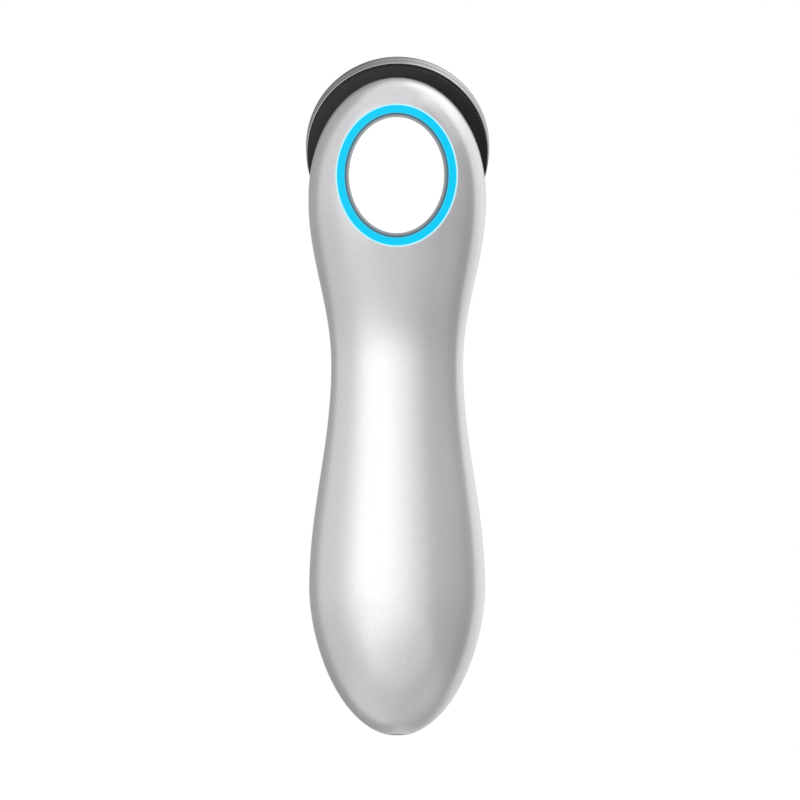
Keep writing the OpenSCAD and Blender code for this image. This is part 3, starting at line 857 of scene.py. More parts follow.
@dataclass(frozen=True)
class LitPlastic(Finish):
    """Plastic lit from behind, in three tones: its wall, its face and its rim.

    The piece's band attribute runs over the three tones. Each pair of shares says where one
    blends into the next. The face's glow is the backlight. The wall's grey is painted shade and
    its dim glow is painted light, together drawing the shaded gap between the ring and the cap.
    The rim's pale glow is a painted highlight on the ring's outer rounded edge.
    """

    glow: Colour = (1.0, 1.0, 1.0)
    # grey tone of the wall: painted shade on the cap's rounded edge and the ring's inner wall
    wall: Colour = (0.3, 0.3, 0.3)
    # dim glow of the wall: painted light that lifts the shadow in the gap round the cap
    wall_painted_light: Colour = (0.0, 0.0, 0.0)
    # pale glow of the rim: a painted highlight on the ring's outer rounded edge
    rim_painted_highlight: Colour = (1.0, 1.0, 1.0)
    face_from: tuple[float, float] = (0.0, 0.1)
    painted_highlight_from: tuple[float, float] = (2.0, 3.0)
    specular: float = 0.5
    grain_scale: float = 1500.0
    grain_patch: float = 80.0
    grain_strength: float = 0.2
    grain_depth: float = 0.004

    def surface(self, sheet: NodeSheet) -> dict[str, object]:
        """Adds the glow of the three tones.

        Args:
            sheet: The material's nodes.

        Returns:
            The shader's inputs.
        """
        band = sheet.add("Attribute", attribute_name="band").outputs["Fac"]
        face = self.step(sheet, band, self.face_from)
        # where the painted highlight on the ring's outer rounded edge lies
        rim = self.step(sheet, band, self.painted_highlight_from)
        # the face's glow is the backlight; the wall's glow is painted light
        glow = sheet.mix(face, self.wall_painted_light, self.glow)
        height = self.grain(sheet, self.grain_scale, self.grain_patch)["Height"]
        return super().surface(sheet) | {
            # the wall's grey is painted shade
            "Base Color": sheet.mix(face, self.wall, self.colour),
            "Emission Color": sheet.mix(rim, glow, self.rim_painted_highlight),
            "Emission Strength": 1.0,
            "Specular IOR Level": self.specular,
            "Normal": self.bump(sheet, height, self.grain_strength, self.grain_depth),
        }

    @staticmethod
    def step(sheet: NodeSheet, source: Socket, span: tuple[float, float]) -> Socket:
        """A smooth step from 0 to 1 over a span of the source."""
        inputs = {"From Min": span[0], "From Max": span[1], "Value": source}
        return sheet.add("MapRange", inputs, interpolation_type="SMOOTHSTEP").outputs[0]


@dataclass(frozen=True)
class ClearPlastic(Finish):
    """Clear or tinted plastic that lets light through."""

    ior: float = 1.49
    glow: float = 0.0
    wave_scale: float = 250.0
    wave_patch: float = 40.0
    wave_strength: float = 0.1
    wave_depth: float = 0.02

    def surface(self, sheet: NodeSheet) -> dict[str, object]:
        """Adds the transmission, the glow and a faint waviness.

        Args:
            sheet: The material's nodes.

        Returns:
            The shader's inputs.
        """
        glow = {"Emission Color": self.colour, "Emission Strength": self.glow}
        height = self.grain(sheet, self.wave_scale, self.wave_patch)["Height"]
        return super().surface(sheet) | (glow if self.glow else {}) | {
            "Transmission Weight": 1.0,
            "IOR": self.ior,
            "Normal": self.bump(sheet, height, self.wave_strength, self.wave_depth),
        }


@dataclass(frozen=True)
class CircuitLaminate(Finish):
    """Solder mask over raised copper tracks in a square pattern."""

    copper: Colour = (0.05, 0.30, 0.14)
    track_scale: float = 260.0
    track_width: float = 0.03
    track_strength: float = 0.4
    track_depth: float = 0.03

    def surface(self, sheet: NodeSheet) -> dict[str, object]:
        """Adds the tracks.

        Args:
            sheet: The material's nodes.

        Returns:
            The shader's inputs.
        """
        inputs = {"Rotation": (math.pi / 2, 0, 0), "Vector": self.place(sheet)}
        board = sheet.add("Mapping", inputs).outputs[0]
        inputs = {"Scale": self.track_scale, "Mortar Size": self.track_width, "Vector": board}
        track = sheet.add("TexBrick", inputs, offset=0.5, squash=1.0).outputs["Fac"]
        return super().surface(sheet) | {
            "Base Color": sheet.mix(track, self.colour, self.copper),
            "Normal": self.bump(sheet, track, self.track_strength, self.track_depth),
        }


PEARL = PearlPaint("pearl silver paint", (0.770, 0.760, 0.782), 0.30, 0.65)
RING_GLOW = LitPlastic(
    "lit ring",
    (0.002, 0.06, 0.08),
    0.35,
    glow=(0.004, 0.57, 0.88),
    # painted shade and painted light on the inner wall, in the gap round the cap
    wall=(0.30, 0.31, 0.32),
    wall_painted_light=(0.03, 0.16, 0.22),
    # painted highlight on the outer rounded edge
    rim_painted_highlight=(0.55, 0.93, 1.0),
    face_from=(0.1, 0.2),
    painted_highlight_from=(0.82, 0.88),
    specular=0.1,
)
CAP_WHITE = LitPlastic(
    "button white",
    (0.9, 0.9, 0.9),
    0.35,
    glow=(0.4, 0.4, 0.4),
    # painted shade: the rounded edge and skirt are grey, with a faint painted light
    wall=(0.42, 0.42, 0.43),
    wall_painted_light=(0.03, 0.03, 0.03),
    # most of the rounded edge stays in the painted shade
    face_from=(0.84, 1.0),
)
BLACK_SATIN = Moulding(
    "black satin", (0.003, 0.003, 0.0035), 0.36, grain_depth=0.006, specular=0.36
)
CHROME = TurnedMetal("turned chrome", (0.48, 0.49, 0.50), 0.18, 1.0)
PLATE_CHROME = TurnedMetal(
    "contact plate chrome", (0.80, 0.81, 0.83), 0.08, 1.0, lines=2000.0, line_depth=0.004
)
LENS = ClearPlastic("clear lens", (0.98, 0.96, 0.96), 0.04)
RED_LED = ClearPlastic("red light source", (0.80, 0.012, 0.010), 0.12, glow=0.4)

CAD_FINISHES: dict[Finish, tuple[str, ...]] = {
    Moulding("dark grey moulding", (0.1, 0.1, 0.11), 0.5): ("switch_plunger", "battery_cradle"),
    Moulding("switch housing", (0.04, 0.045, 0.045), 0.45): ("button_switch",),
    Moulding("light source", (0.9, 0.87, 0.72), 0.3): ("ring_leds", "cap_leds"),
    Moulding("chip package", (0.025, 0.025, 0.026), 0.6, grain_scale=6000.0): ("controller_chip",),
    Moulding("ferrite and copper", (0.24, 0.12, 0.06), 0.5): ("boost_coil",),
    Moulding("capacitor can", (0.56, 0.57, 0.6), 0.32, 1.0): ("board_capacitors",),
    Moulding("cell sleeve", (0.04, 0.13, 0.42), 0.35): ("battery_cell",),
    Moulding("plated contact", (0.8, 0.7, 0.45), 0.28, 1.0): ("battery_contacts",),
    Moulding("red insulation", (0.55, 0.02, 0.02), 0.45): ("battery_leads",),
    Moulding("black insulation", (0.02, 0.02, 0.02), 0.45): ("charging_leads",),
    Moulding("white insulation", (0.82, 0.81, 0.75), 0.5): ("head_lead",),
    Moulding("socket moulding", (0.018, 0.018, 0.019), 0.4): ("charging_socket",),
    Moulding("silicone seal", (0.5, 0.5, 0.51), 0.65): ("socket_seal", "collar_seal"),
    Moulding("white reflector", (0.88, 0.88, 0.88), 0.25, grain_depth=0.003): ("led_reflector",),
    Moulding("insulating bush", (0.03, 0.03, 0.032), 0.5): ("plate_insulator",),
    Moulding("turned brass", (0.8, 0.62, 0.28), 0.25, 1.0): ("plate_nut",),
    Moulding("bright steel", (0.68, 0.68, 0.7), 0.28, 1.0): (
        "return_springs",
        "board_screws",
        "cradle_screws",
        "charging_board_screws",
        "collar_screws",
    ),
    CircuitLaminate("circuit board", (0.012, 0.16, 0.07), 0.35): (
        "main_board",
        "charging_board",
        "led_board",
    ),
}


def dress_cad_nodes(nodes: Mapping[str, bpy.types.Object]) -> None:
    """Gives each CAD node that stays in view its finish.

    Args:
        nodes: The frame's nodes by name.
    """
    for finish, names in CAD_FINISHES.items():
        for name in names:
            for slot in nodes[name].material_slots:
                slot.material = finish.material()
            LOG.info("%s: CAD node in %s", name, finish.name)


# ----casing


@dataclass
class Casing:
    """The two-piece handle, with the opening for the light ring and the seat for the head."""

    wall: float = 2.0
    hole_r: float = 2.7
    fit: float = 0.1
    columns: int = 96
    rows: int = 168
    opening_columns: int = 25
    opening_margin: float = 2.2
    opening_ease: float = 1.3
    rings: int = 9
    rim_round: float = 0.12
    rim_segments: int = 2
    rim_angle: float = math.radians(50)
    crown_weld: float = 1e-5

    def skin(self, side: Side, u: float, t: float) -> Vector:
        """Finds a point of the surface.

        Args:
            side: The half of the casing.
            u: Place from seam to seam, -1 to 1.
            t: Share of the way from the socket's hole to the crown.

        Returns:
            The point.
        """
        z = FORM.height(t)
        tip = t < TINY
        seam = math.asin(FORM.seam_y / self.hole_r) if tip else FORM.seam_turn(z)
        turn = side.value * (math.pi / 2 - u * (math.pi / 2 - side.value * seam))
        return FORM.hole_edge(turn, self.hole_r) if tip else FORM.skin(turn, z)

    def opening_rows(self) -> tuple[int, int]:
        """Finds the block of faces that the light ring's oval lies in.

        Returns:
            Its first and its last row.
        """
        low = OVAL.z - OVAL.b - self.opening_margin
        high = OVAL.z + OVAL.b + self.opening_margin
        heights = [FORM.height(i / self.rows) for i in range(self.rows + 1)]
        first = max(i for i, z in enumerate(heights) if z < low)
        last = min(i for i, z in enumerate(heights) if z > high)
        return first, last

    def grid(self) -> Mesh:
        """Makes the flat grid that both halves are bent from.

        Returns:
            A grid whose X is the place from seam to seam and whose Y is the share of the height.
        """
        bm = bmesh.new()
        bmesh.ops.create_grid(bm, x_segments=self.columns, y_segments=self.rows, size=1.0)
        bmesh.ops.translate(bm, vec=(0, 1, 0), verts=bm.verts)
        bmesh.ops.scale(bm, vec=(1, 0.5, 1), verts=bm.verts)
        return bm

    def open_face(self, bm: Mesh) -> None:
        """Takes a block of faces out of the grid and adds rings that lead in to the oval.

        Args:
            bm: The grid.
        """
        first, last = self.opening_rows()
        low, high = first / self.rows, last / self.rows
        out = 2 * self.opening_columns / self.columns

        def within(place: Vector, slack: float) -> bool:
            """Whether a place lies in the block."""
            return abs(place.x) < out + slack and low - slack < place.y < high + slack

        block = [face for face in bm.faces if within(face.calc_center_median(), 0.0)]
        bmesh.ops.delete(bm, geom=block, context="FACES")
        edges = [
            edge
            for edge in bm.edges
            if edge.is_boundary and all(within(vert.co, TINY) for vert in edge.verts)
        ]
        for _ in range(self.rings):
            verts, edges = drawn_out(bm, edges)
            bmesh.ops.translate(bm, vec=(0, 0, 1 / self.rings), verts=verts)

    def front_point(self, co: Vector) -> Vector:
        """Bends a grid vertex onto the front.

        Args:
            co: Its place, with how far it is drawn in to the oval as Z.

        Returns:
            The point of the front surface.
        """
        base = self.skin(Side.FRONT, co.x, co.y)
        if co.z < TINY:
            return base
        grow = self.fit
        turn = math.atan2((base.z - OVAL.z) / (OVAL.b + grow), base.x / (OVAL.a + grow))
        share = 1 - (1 - co.z) ** self.opening_ease
        edge_x, edge_z = OVAL.point(turn, grow)
        x, z = base.x + (edge_x - base.x) * share, base.z + (edge_z - base.z) * share
        return Vector((x, FORM.dome_y(x, z), z))

    def close_crown(self, bm: Mesh) -> None:
        """Joins the left and right of the grid's top row, which meet on the crown's ridge.

        Args:
            bm: The grid.
        """
        for vert in bm.verts:
            if vert.co.y > 1 - TINY:
                vert.co.x = abs(vert.co.x)
        bmesh.ops.remove_doubles(bm, verts=bm.verts, dist=self.crown_weld)

    def front(self) -> None:
        """Builds the front casing."""
        bm = self.grid()
        self.open_face(bm)
        self.close_crown(bm)
        for vert in bm.verts:
            vert.co = self.front_point(vert.co)
        self.finish(bm, Side.FRONT, "front_casing")

    def rear(self) -> None:
        """Builds the rear casing, cut and closed at the head's seat."""
        bm = self.grid()
        self.close_crown(bm)
        for vert in bm.verts:
            vert.co = self.skin(Side.REAR, vert.co.x, vert.co.y)
        cut = bmesh.ops.bisect_plane(
            bm,
            geom=[*bm.verts, *bm.edges, *bm.faces],
            dist=WELD,
            plane_co=(0, FORM.seat_y, FORM.head_cz),
            plane_no=(0, math.cos(FORM.head_tilt), math.sin(FORM.head_tilt)),
            clear_outer=True,
        )
        bmesh.ops.contextual_create(bm, geom=only(Edge, cut["geom_cut"]))
        self.finish(bm, Side.REAR, "rear_casing")

    def finish(self, bm: Mesh, side: Side, node: str) -> None:
        """Merges the surface's doubles and gives the shell its wall and rounded rims.

        Args:
            bm: The outer surface.
            side: The half of the casing.
            node: The CAD node it stands for, which also names the piece.
        """
        bmesh.ops.remove_doubles(bm, verts=bm.verts, dist=LOOSE_WELD)
        bmesh.ops.recalc_face_normals(bm, faces=bm.faces)
        if sum(face.calc_area() * face.normal.y for face in bm.faces) * side.value < 0:
            bmesh.ops.reverse_faces(bm, faces=bm.faces)
        piece = finish_piece(bm, node + "_shell", Body.HANDLE, [node], PEARL)
        wall = piece.modifiers.new("wall", "SOLIDIFY")
        wall.thickness = self.wall * MM
        wall.offset = -1
        bevel = piece.modifiers.new("rounded rims", "BEVEL")
        bevel.width = self.rim_round * MM
        bevel.segments = self.rim_segments
        bevel.limit_method = "ANGLE"
        bevel.angle_limit = self.rim_angle
        bevel.harden_normals = True

    def build(self) -> None:
        """Builds both halves."""
        self.front()
        self.rear()


# ----ring and button


@dataclass(frozen=True)
class Loop:
    """One oval loop: its growth, its depth behind the front surface, its band and its scale."""

    grow: float
    depth: float
    band: float
    scale: float = 1.0


def loft_ovals(loops: Sequence[Loop], segments: int, closed: bool) -> Mesh:
    """Joins oval loops that follow the body's front surface.

    Args:
        loops: The loops in order.
        segments: Points on each loop.
        closed: Whether the last loop joins the first; otherwise both ends close on the axis.

    Returns:
        The mesh, with its faces outwards and a band value on each vertex.
    """
    bm = bmesh.new()
    turn_of = bm.verts.layers.float.new("turn")
    band_of = bm.verts.layers.float.new("band")
    circle = bmesh.ops.create_circle(bm, cap_ends=False, segments=segments, radius=1.0)
    ring = first_ring = circle["verts"]
    for vert in ring:
        vert[turn_of] = math.atan2(vert.co.y, vert.co.x)
    edges = first_edges = list(bm.edges)
    for index, loop in enumerate(loops):
        if index:
            ring, edges = drawn_out(bm, edges)
        for vert in ring:
            x, z = OVAL.point(vert[turn_of], loop.grow, loop.scale)
            vert.co = (x, FORM.dome_y(x, z) + loop.depth, z)
            vert[band_of] = loop.band
    if closed:
        bmesh.ops.bridge_loops(bm, edges=first_edges + edges)
    else:
        for end in (first_ring, ring):
            middle = sum((v.co for v in end), Vector()) / len(end)
            bmesh.ops.pointmerge(bm, verts=end, merge_co=middle)
    bmesh.ops.recalc_face_normals(bm, faces=bm.faces)
    bm.verts.layers.float.remove(bm.verts.layers.float["turn"])
    return bm


def rounded_edge(
    centre: tuple[float, float],
    radius: float,
    turns: tuple[float, float],
    bands: tuple[float, float],
    steps: int = 6,
) -> list[Loop]:
    """Makes loops round one rounded edge of an oval piece.

    Args:
        centre: Growth and depth of the rounding's centre.
        radius: Radius of the rounding.
        turns: Angles it starts and ends at, where 0 points out of the oval and 90 to the front.
        bands: Band value at the start and at the end.
        steps: Steps of the rounding.

    Returns:
        The loops in order.
    """
    (grow, depth), loops = centre, []
    for index in range(steps + 1):
        share = index / steps
        turn = math.radians(turns[0] + (turns[1] - turns[0]) * share)
        band = bands[0] + (bands[1] - bands[0]) * share
        loops.append(Loop(grow + radius * math.cos(turn), depth - radius * math.sin(turn), band))
    return loops


@dataclass
class LightRing:
    """The oval light guide round the button.

    Its band value runs from 0 on the inner wall over the face to 1 on the outer wall. The inner
    wall thus takes the painted shade and painted light of the gap, and the outer rounded edge a
    painted highlight.
    """

    width: float = 2.5
    outer_round: float = 0.28
    # bands of the outer rounding, which fall in the painted highlight
    outer_bands: tuple[float, float] = (1.0, 0.85)
    inner_round: float = 0.3
    inner_bands: tuple[float, float] = (0.22, 0.1)
    face_shares: tuple[float, ...] = (0.2, 0.4, 0.6, 0.75)
    proud: float = 0.15
    wall_from: float = 1.5
    deep: float = 9.0
    segments: int = 192

    def build(self) -> None:
        """Builds the guide with two rounded edges."""
        out, inn, face = self.outer_round, self.inner_round, -self.proud
        outer, inner = (-out, face + out), (-self.width + inn, face + inn)
        loops = [
            Loop(0.0, self.deep, 1.0),
            *rounded_edge(outer, out, (0, 90), self.outer_bands),
            *(Loop(-self.width * share, face, 1 - share) for share in self.face_shares),
            *rounded_edge(inner, inn, (90, 180), self.inner_bands),
            Loop(-self.width, self.wall_from, 0.0),
            Loop(-self.width, self.deep, 0.0),
        ]
        bm = loft_ovals(loops, self.segments, closed=True)
        finish_piece(bm, "light_guide", Body.HANDLE, ["light_ring"], RING_GLOW)


@dataclass
class PushButton:
    """The white cap, with a rounded edge, a skirt and the flange that holds it in."""

    ring_width: float = 2.5
    gap: float = 0.35
    sink: float = 0.3
    thickness: float = 1.6
    edge_round: float = 1.05
    edge_steps: int = 8
    crown_shares: tuple[float, ...] = (0.02, 0.2, 0.4, 0.6, 0.8, 0.92)
    roof_shares: tuple[float, ...] = (0.6, 0.3, 0.02)
    flange_depth: float = 10.8
    flange_t: float = 1.0
    flange_w: float = 0.9
    fillet_w: float = 0.6
    fillet_h: float = 0.5
    segments: int = 192

    def build(self) -> None:
        """Builds the cap as one closed shell."""
        edge = -self.ring_width - self.gap
        crown, lip = edge - self.edge_round, edge + self.flange_w
        skirt, under = edge - self.thickness, self.sink + self.thickness
        roof, flange = skirt - self.fillet_w, self.flange_depth - self.flange_t
        centre = (crown, self.sink + self.edge_round)
        loops = [
            *(Loop(crown, self.sink, 1.0, share) for share in self.crown_shares),
            # the band falls from 1 to 0 round the edge, so most of the rounding takes the grey
            # painted shade
            *rounded_edge(centre, self.edge_round, (90, 0), (1.0, 0.0), self.edge_steps),
            Loop(edge, flange, 0.0),
            Loop(lip, flange, 0.0),
            Loop(lip, self.flange_depth, 0.0),
            Loop(skirt, self.flange_depth, 0.0),
            Loop(skirt, under + self.fillet_h, 0.0),
            Loop(roof, under, 0.0),
            *(Loop(roof, under, 0.0, share) for share in self.roof_shares),
        ]
        bm = loft_ovals(loops, self.segments, closed=False)
        finish_piece(bm, "button_cap", Body.BUTTON, ["power_button"], CAP_WHITE)


# ----treatment head


@dataclass
class TreatmentHead:
    """The collar, the electrode ring, the lens, the lights and the centre plate.

    Heights are above the seat on the rear casing.
    """

    fit: float = 0.1
    collar_r: float = 25.3
    collar_h: float = 5.0
    collar_cone: float = 0.5
    collar_rim: float = 0.3
    collar_edge: float = 0.35
    cone_round: float = 0.08
    flange_round: float = 0.12
    fine_round: float = 0.05
    bore_r: float = 20.5
    bore_h: float = 2.0
    seat_w: float = 1.0
    groove_w: float = 0.9
    groove_flank: float = 1.0
    groove_round: float = 0.3
    spigot_r: float = 23.6
    spigot_t: float = 1.4
    electrode_r: float = 25.9
    electrode_h: float = 8.4
    band_inset: float = 0.26
    line_shares: tuple[float, ...] = (0.22, 0.45)
    line_half: float = 0.2
    line_edge: float = 0.12
    line_deep: float = 0.45
    line_round: float = 0.06
    barrel_round: float = 0.5
    rim_r: float = 1.1
    rim_steps: int = 10
    band_steps: int = 256
    lip_w: float = 4.0
    lip_cut: float = 0.3
    lip_round: float = 0.15
    face_drop: float = 0.3
    lens_t: float = 2.5
    lens_flange_t: float = 1.6
    lens_round: float = 0.2
    plate_r: float = 10.6
    plate_rise: float = 1.2
    plate_drop: float = 0.2
    plate_seat: float = 0.6
    plate_rows: int = 16
    stud_r: float = 2.0
    stud_drop: float = 2.0
    insulator_w: float = 0.6
    led_count: int = 16
    led_r: float = 2.0
    led_base: float = 6.6
    led_ring_r: float = 16.4
    led_gap: float = 0.4
    led_rows: int = 9
    led_steps: int = 28
    axis: Matrix = field(
        default_factory=lambda: Matrix.Translation((0, FORM.seat_y, FORM.head_cz))
        @ Matrix.Rotation(FORM.head_tilt - math.pi / 2, 4, "X")
    )

    @property
    def low(self) -> float:
        """Foot of the electrode ring."""
        return self.collar_h + self.fit

    @property
    def top(self) -> float:
        """Top of the electrode ring."""
        return self.low + self.electrode_h

    @property
    def lens_top(self) -> float:
        """Face of the lens."""
        return self.top - self.face_drop

    @property
    def lens_low(self) -> float:
        """Back of the lens."""
        return self.lens_top - self.lens_t

    def add(self, bm: Mesh, name: str, node: str, slot: str, finish: Finish) -> None:
        """Moves a turned piece onto the head's axis and finishes it."""
        bmesh.ops.transform(bm, matrix=self.axis, verts=bm.verts)
        finish_piece(bm, name, Body.HANDLE, [node], finish)

    def collar(self) -> None:
        """Builds the black collar: a shallow cone, a shadow groove and a thin foot flange."""
        r, h, inner, cone = self.collar_r, self.collar_h, self.bore_r, self.collar_cone
        groove_r, flank, rim = r - self.groove_w, self.groove_flank, r - self.collar_rim
        spigot, spigot_h = self.spigot_r, self.lens_low - self.fit
        bm = turned(
            [
                (inner, self.bore_h),
                (inner, 0.0),
                (inner + self.seat_w, 0.0),
                (r, cone, self.cone_round),
                (r, cone + self.collar_edge, self.flange_round),
                (groove_r, cone + flank, self.groove_round),
                (groove_r, h - flank, self.groove_round),
                (rim, h - self.collar_edge, self.fine_round),
                (rim, h),
                (spigot, h),
                (spigot, spigot_h),
                (spigot - self.spigot_t, spigot_h),
                (spigot - self.spigot_t, h),
                (inner, h),
            ]
        )
        self.add(bm, "black_collar", "head_collar", "black_satin", BLACK_SATIN)

    def electrode(self) -> None:
        """Builds the chrome ring: two fine grooves, a barrel, a round rim and the lens's lip."""
        r, inner, rim = self.electrode_r, self.spigot_r + self.fit, self.rim_r
        lip, ledge = r - self.lip_w, self.lens_low + self.lens_flange_t + self.fit
        lines = [self.low + share * self.electrode_h for share in self.line_shares]
        profile = [(inner, self.low), (r - self.band_inset, self.low, self.fine_round)]
        for line in lines:
            profile += [
                (r - self.line_edge, line - self.line_half, self.line_round),
                (r - self.line_deep, line),
                (r - self.line_edge, line + self.line_half, self.line_round),
            ]
        profile += [
            (r, (lines[-1] + self.top) / 2, self.barrel_round),
            (r, self.top - rim),
            *quarter(r - rim, self.top - rim, rim, self.rim_steps, 1),
            (lip + self.lip_cut, self.top, self.lip_round),
            (lip, self.top - self.lip_cut, self.lip_round),
            (lip, ledge),
            (inner, ledge),
        ]
        bm = turned(profile, self.band_steps)
        self.add(bm, "electrode_band", "electrode_ring", "polished_chrome", CHROME)

    def lens(self) -> None:
        """Builds the clear ring over the lights."""
        inner = self.plate_r + self.insulator_w + self.fit
        outer = self.electrode_r - self.lip_w - self.fit
        flange, ledge = self.spigot_r - self.fit, self.lens_low + self.lens_flange_t
        bm = turned(
            [
                (inner, self.lens_low),
                (flange, self.lens_low),
                (flange, ledge),
                (outer, ledge),
                (outer, self.lens_top, self.lens_round),
                (inner, self.lens_top, self.flange_round),
            ]
        )
        self.add(bm, "lens_ring", "treatment_lens", "clear_lens", LENS)

    def plate(self) -> None:
        """Builds the domed centre electrode with its stud."""
        out, rise, rows = self.plate_r, self.plate_rise, self.plate_rows
        low, seat = self.lens_top - self.plate_drop, self.lens_low + self.plate_seat
        foot, ball = self.collar_h - self.stud_drop, (out**2 + rise**2) / (2 * rise)
        radii = [out * row / rows for row in range(rows - 1, -1, -1)]
        dome = [(r, low + rise - ball + math.sqrt(ball**2 - r**2)) for r in radii]
        bm = turned(
            [
                (0.0, foot),
                (self.stud_r, foot),
                (self.stud_r, seat),
                (out, seat),
                (out, low, self.flange_round),
                *dome,
            ],
            closed=False,
        )
        self.add(bm, "centre_electrode", "contact_plate", "polished_chrome", PLATE_CHROME)

    def lights(self) -> None:
        """Builds the ring of red lights, each a domed body with a flat foot."""
        r = self.led_r
        top = self.lens_low - self.led_gap - self.fit - self.led_base
        body = [(0.0, 0.0), (r, 0.0), *quarter(0.0, top - r, r, self.led_rows)]
        bm = turned(body, self.led_steps, closed=False)
        bmesh.ops.translate(bm, vec=(self.led_ring_r, 0, self.led_base), verts=bm.verts)
        first = [*bm.verts, *bm.edges, *bm.faces]
        for index in range(1, self.led_count):
            copy = bmesh.ops.duplicate(bm, geom=first)["geom"]
            turn = Matrix.Rotation(math.tau * index / self.led_count, 3, "Z")
            bmesh.ops.rotate(bm, cent=(0, 0, 0), matrix=turn, verts=only(Vert, copy))
        self.add(bm, "red_lights", "treatment_leds", "led_red", RED_LED)

    def build(self) -> None:
        """Builds every piece of the head."""
        self.collar()
        self.electrode()
        self.lens()
        self.plate()
        self.lights()


# ----studio


@dataclass(frozen=True)
class Patch:
    """A part of the studio's light, drawn by direction.

    Each pair of numbers is an angle in degrees and a share of the patch's level. The angles run
    round from the camera to the right, and up from the horizon. A level below zero takes that
    share of the light away.
    """

    across: Stops
    up: Stops
    level: float

    def laid(self, sheet: NodeSheet, around: Socket, up: Socket, light: object) -> Socket:
        """Lays the patch over the light that is there.

        Args:
            sheet: The world's nodes.
            around: Direction round the device, 0.5 towards the camera and rising to the right.
            up: Direction up and down, 0.5 at the horizon.
            light: The light so far.

        Returns:
            The light with this patch.
        """
        shares = [
            sheet.ramp(way, [(degrees / full + 0.5, share) for degrees, share in stops])
            for way, stops, full in ((around, self.across, 360), (up, self.up, 180))
        ]
        drawn = sheet.math("MULTIPLY", *shares)
        if self.level > 0:
            return sheet.math("MULTIPLY_ADD", drawn, self.level, light)
        return sheet.math("MULTIPLY", light, sheet.math("MULTIPLY_ADD", drawn, self.level, 1.0))


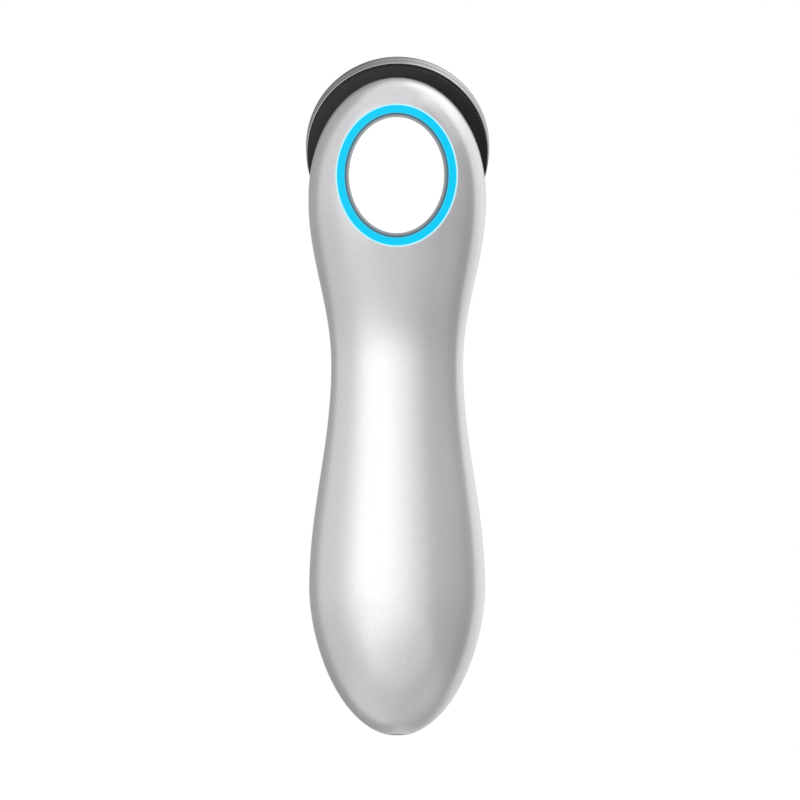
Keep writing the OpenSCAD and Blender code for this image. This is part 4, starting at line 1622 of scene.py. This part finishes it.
@dataclass
class Studio:
    """The camera, the floor and the light round the device.

    The light is laid patch by patch, and the patch named above clears the way for the ceiling.
    """

    frame_w: float = 224.5
    centre_x: float = 0.8
    centre_z: float = 94.03
    focal: float = 600.0
    sensor: float = 36.0
    sight: float = 50000.0
    azimuth: float = math.radians(0.4)
    elevation: float = math.radians(1.2)
    floor_z: float = -45.0
    floor_r: float = 700.0
    floor_sides: int = 96
    floor_grey: float = 0.6
    floor_lift: float = 0.55
    lamp_place: tuple[float, float, float] = (6.0, -175.0, -64.0)
    lamp_aim: tuple[float, float, float] = (0.0, -18.0, 20.0)
    lamp_size: tuple[float, float] = (290.0, 140.0)
    lamp_power: float = 0.033
    unit: float = 2.0
    walls: Patch = Patch(
        (
            *((-180, 0.34), (-160, 0.19), (-142, 0.155), (-122, 0.165), (-108, 0.37)),
            *((-60, 0.36), (-20, 0.3), (20, 0.26), (44, 0.235), (72, 0.21), (90, 0.15)),
            *((110, 0.12), (113, 0.5), (152, 0.5), (180, 0.34)),
        ),
        ((-66, 1.05), (-43, 1.03), (-30, 0.82), (-16, 0.84), (-4, 1)),
        1.0,
    )
    key: Patch = Patch(
        (
            *((-74, 0), (-62, 0.12), (-52, 0.36), (-38, 0.84), (-24, 1)),
            *((-10, 1), (4, 0.73), (20, 0.33), (38, 0)),
        ),
        (
            *((-48, 0), (-34, 0.14), (-26, 0.38), (-20, 0.64)),
            *((-14, 0.84), (-5, 1), (30, 1), (50, 0)),
        ),
        0.53,
    )
    above: Patch = Patch(((0, 1),), ((34, 0), (58, 1)), -1.0)
    ceiling: Patch = Patch(((0, 1),), ((34, 0), (58, 1)), 0.42)
    rim: Patch = Patch(
        ((56, 0), (86, 0.65), (130, 0.6), (154, 0.75), (168, 1), (178, 0)),
        ((10, 0), (28, 1), (58, 1), (70, 0)),
        0.32,
    )
    shade: Patch = Patch(
        ((-34, 0), (-6, 0.6), (6, 1), (24, 0.85), (54, 0)),
        ((-54, 0), (-40, 1), (-22, 1), (-9, 0)),
        -0.34,
    )
    foot: Patch = Patch(
        ((106, 0), (114, 1), (150, 1), (176, 0)), ((-70, 1), (-44, 1), (-24, 0)), -0.6
    )
    fill: Patch = Patch(
        ((34, 0), (60, 1), (102, 1), (112, 0)), ((-80, 1), (-44, 1), (-24, 0)), 0.08
    )
    backdrop: Patch = Patch(
        ((-166, 1), (-154, 0), (160, 0), (172, 1)),
        ((-3, 0), (6, 0.56), (28, 0.56), (38, 0)),
        -1.0,
    )

    def camera(self) -> None:
        """Sets the camera square to the front."""
        data = bpy.data.cameras.new("camera")
        data.lens = self.focal
        data.sensor_width = self.sensor
        data.clip_end = self.sight * MM
        camera = add_object("camera", data)
        away = Vector((0, 0, self.frame_w * self.focal / self.sensor * MM))
        turn = Euler((math.pi / 2 - self.elevation, 0, self.azimuth))
        away.rotate(turn)
        camera.location = Vector((self.centre_x * MM, 0, self.centre_z * MM)) + away
        camera.rotation_euler = turn
        bpy.context.scene.camera = camera

    def floor_finish(self) -> bpy.types.Material:
        """Makes the floor's material, which reflections and views from below look through.

        Returns:
            The material.
        """
        material = bpy.data.materials.new("floor white")
        material.use_nodes = True
        material.node_tree.nodes.clear()
        sheet = NodeSheet(material.node_tree)
        path = sheet.add("LightPath").outputs
        seen = sheet.math("MAXIMUM", path["Is Camera Ray"], path["Is Transmission Ray"])
        lift = sheet.math("MULTIPLY", seen, self.floor_lift)
        diffuse = sheet.add("BsdfDiffuse", {"Color": (self.floor_grey,) * 3})
        glow = sheet.add("Emission", {"Strength": lift})
        pale = sheet.add("AddShader", {0: diffuse.outputs[0], 1: glow.outputs[0]})
        below = sheet.add("NewGeometry").outputs["Backfacing"]
        through = sheet.math("MAXIMUM", below, path["Is Glossy Ray"])
        clear = sheet.add("BsdfTransparent")
        inputs = {0: through, 1: pale.outputs[0], 2: clear.outputs[0]}
        sheet.add("OutputMaterial", {0: sheet.add("MixShader", inputs).outputs[0]})
        return material

    def floor(self) -> None:
        """Adds a round pale floor that keeps the shadow."""
        bm = bmesh.new()
        bmesh.ops.create_circle(bm, cap_ends=True, segments=self.floor_sides, radius=self.floor_r)
        bmesh.ops.translate(bm, vec=(0, 0, self.floor_z), verts=bm.verts)
        floor = add_mesh(bm, "floor", self.floor_finish())

    def sky(self) -> None:
        """Lights the device from a studio drawn by direction, and shows white to the camera."""
        world = bpy.data.worlds.new("studio")
        bpy.context.scene.world = world
        world.use_nodes = True
        world.node_tree.nodes.clear()
        sheet = NodeSheet(world.node_tree)
        place = sheet.add("TexCoord").outputs["Generated"]
        x, y, z = sheet.add("SeparateXYZ", {0: place}).outputs
        turn = sheet.math("ARCTAN2", x, sheet.math("MULTIPLY", y, -1.0))
        around = sheet.math("MULTIPLY_ADD", turn, 1 / math.tau, 0.5)
        up = sheet.math("MULTIPLY_ADD", sheet.math("ARCSINE", z), 1 / math.pi, 0.5)
        light: object = 0.0
        first = (self.walls, self.key, self.above, self.ceiling, self.rim)
        for patch in (*first, self.shade, self.foot, self.fill, self.backdrop):
            light = patch.laid(sheet, around, up, light)
        white, level = (1.0, 1.0, 1.0), sheet.math("MULTIPLY", light, self.unit)
        lit = sheet.add("Background", {"Color": white, "Strength": level})
        bright = sheet.add("Background", {"Color": white, "Strength": 1.0})
        path = sheet.add("LightPath").outputs
        straight = sheet.math("COMPARE", path["Ray Depth"], path["Transmission Depth"], 0.5)
        seen = sheet.math("MAXIMUM", path["Is Camera Ray"], straight)
        inputs = {0: seen, 1: lit.outputs[0], 2: bright.outputs[0]}
        sheet.add("OutputWorld", {0: sheet.add("MixShader", inputs).outputs[0]})

    def tail_lamp(self) -> None:
        """Adds a soft panel low in front of the tail, which no camera sees."""
        data = bpy.data.lights.new("tail lamp", "AREA")
        data.shape = "ELLIPSE"
        data.size, data.size_y = (side * MM for side in self.lamp_size)
        data.energy = self.lamp_power
        lamp = add_object("tail lamp", data)
        place, aim = Vector(self.lamp_place), Vector(self.lamp_aim)
        lamp.location = place * MM
        lamp.rotation_euler = (aim - place).to_track_quat("-Z", "Y").to_euler()
        lamp.visible_camera = False

    def build(self) -> None:
        """Sets the whole studio."""
        self.camera()
        self.floor()
        self.sky()
        self.tail_lamp()
        bpy.context.scene.view_settings.view_transform = "Standard"


def main() -> None:
    """Loads the frame, dresses the device and sets the studio."""
    logging.basicConfig(level=logging.INFO, format="%(message)s")
    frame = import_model()
    dress_cad_nodes(frame["nodes"])
    Casing().build()
    LightRing().build()
    PushButton().build()
    TreatmentHead().build()
    Studio().build()


if __name__ == "__main__":
    main()
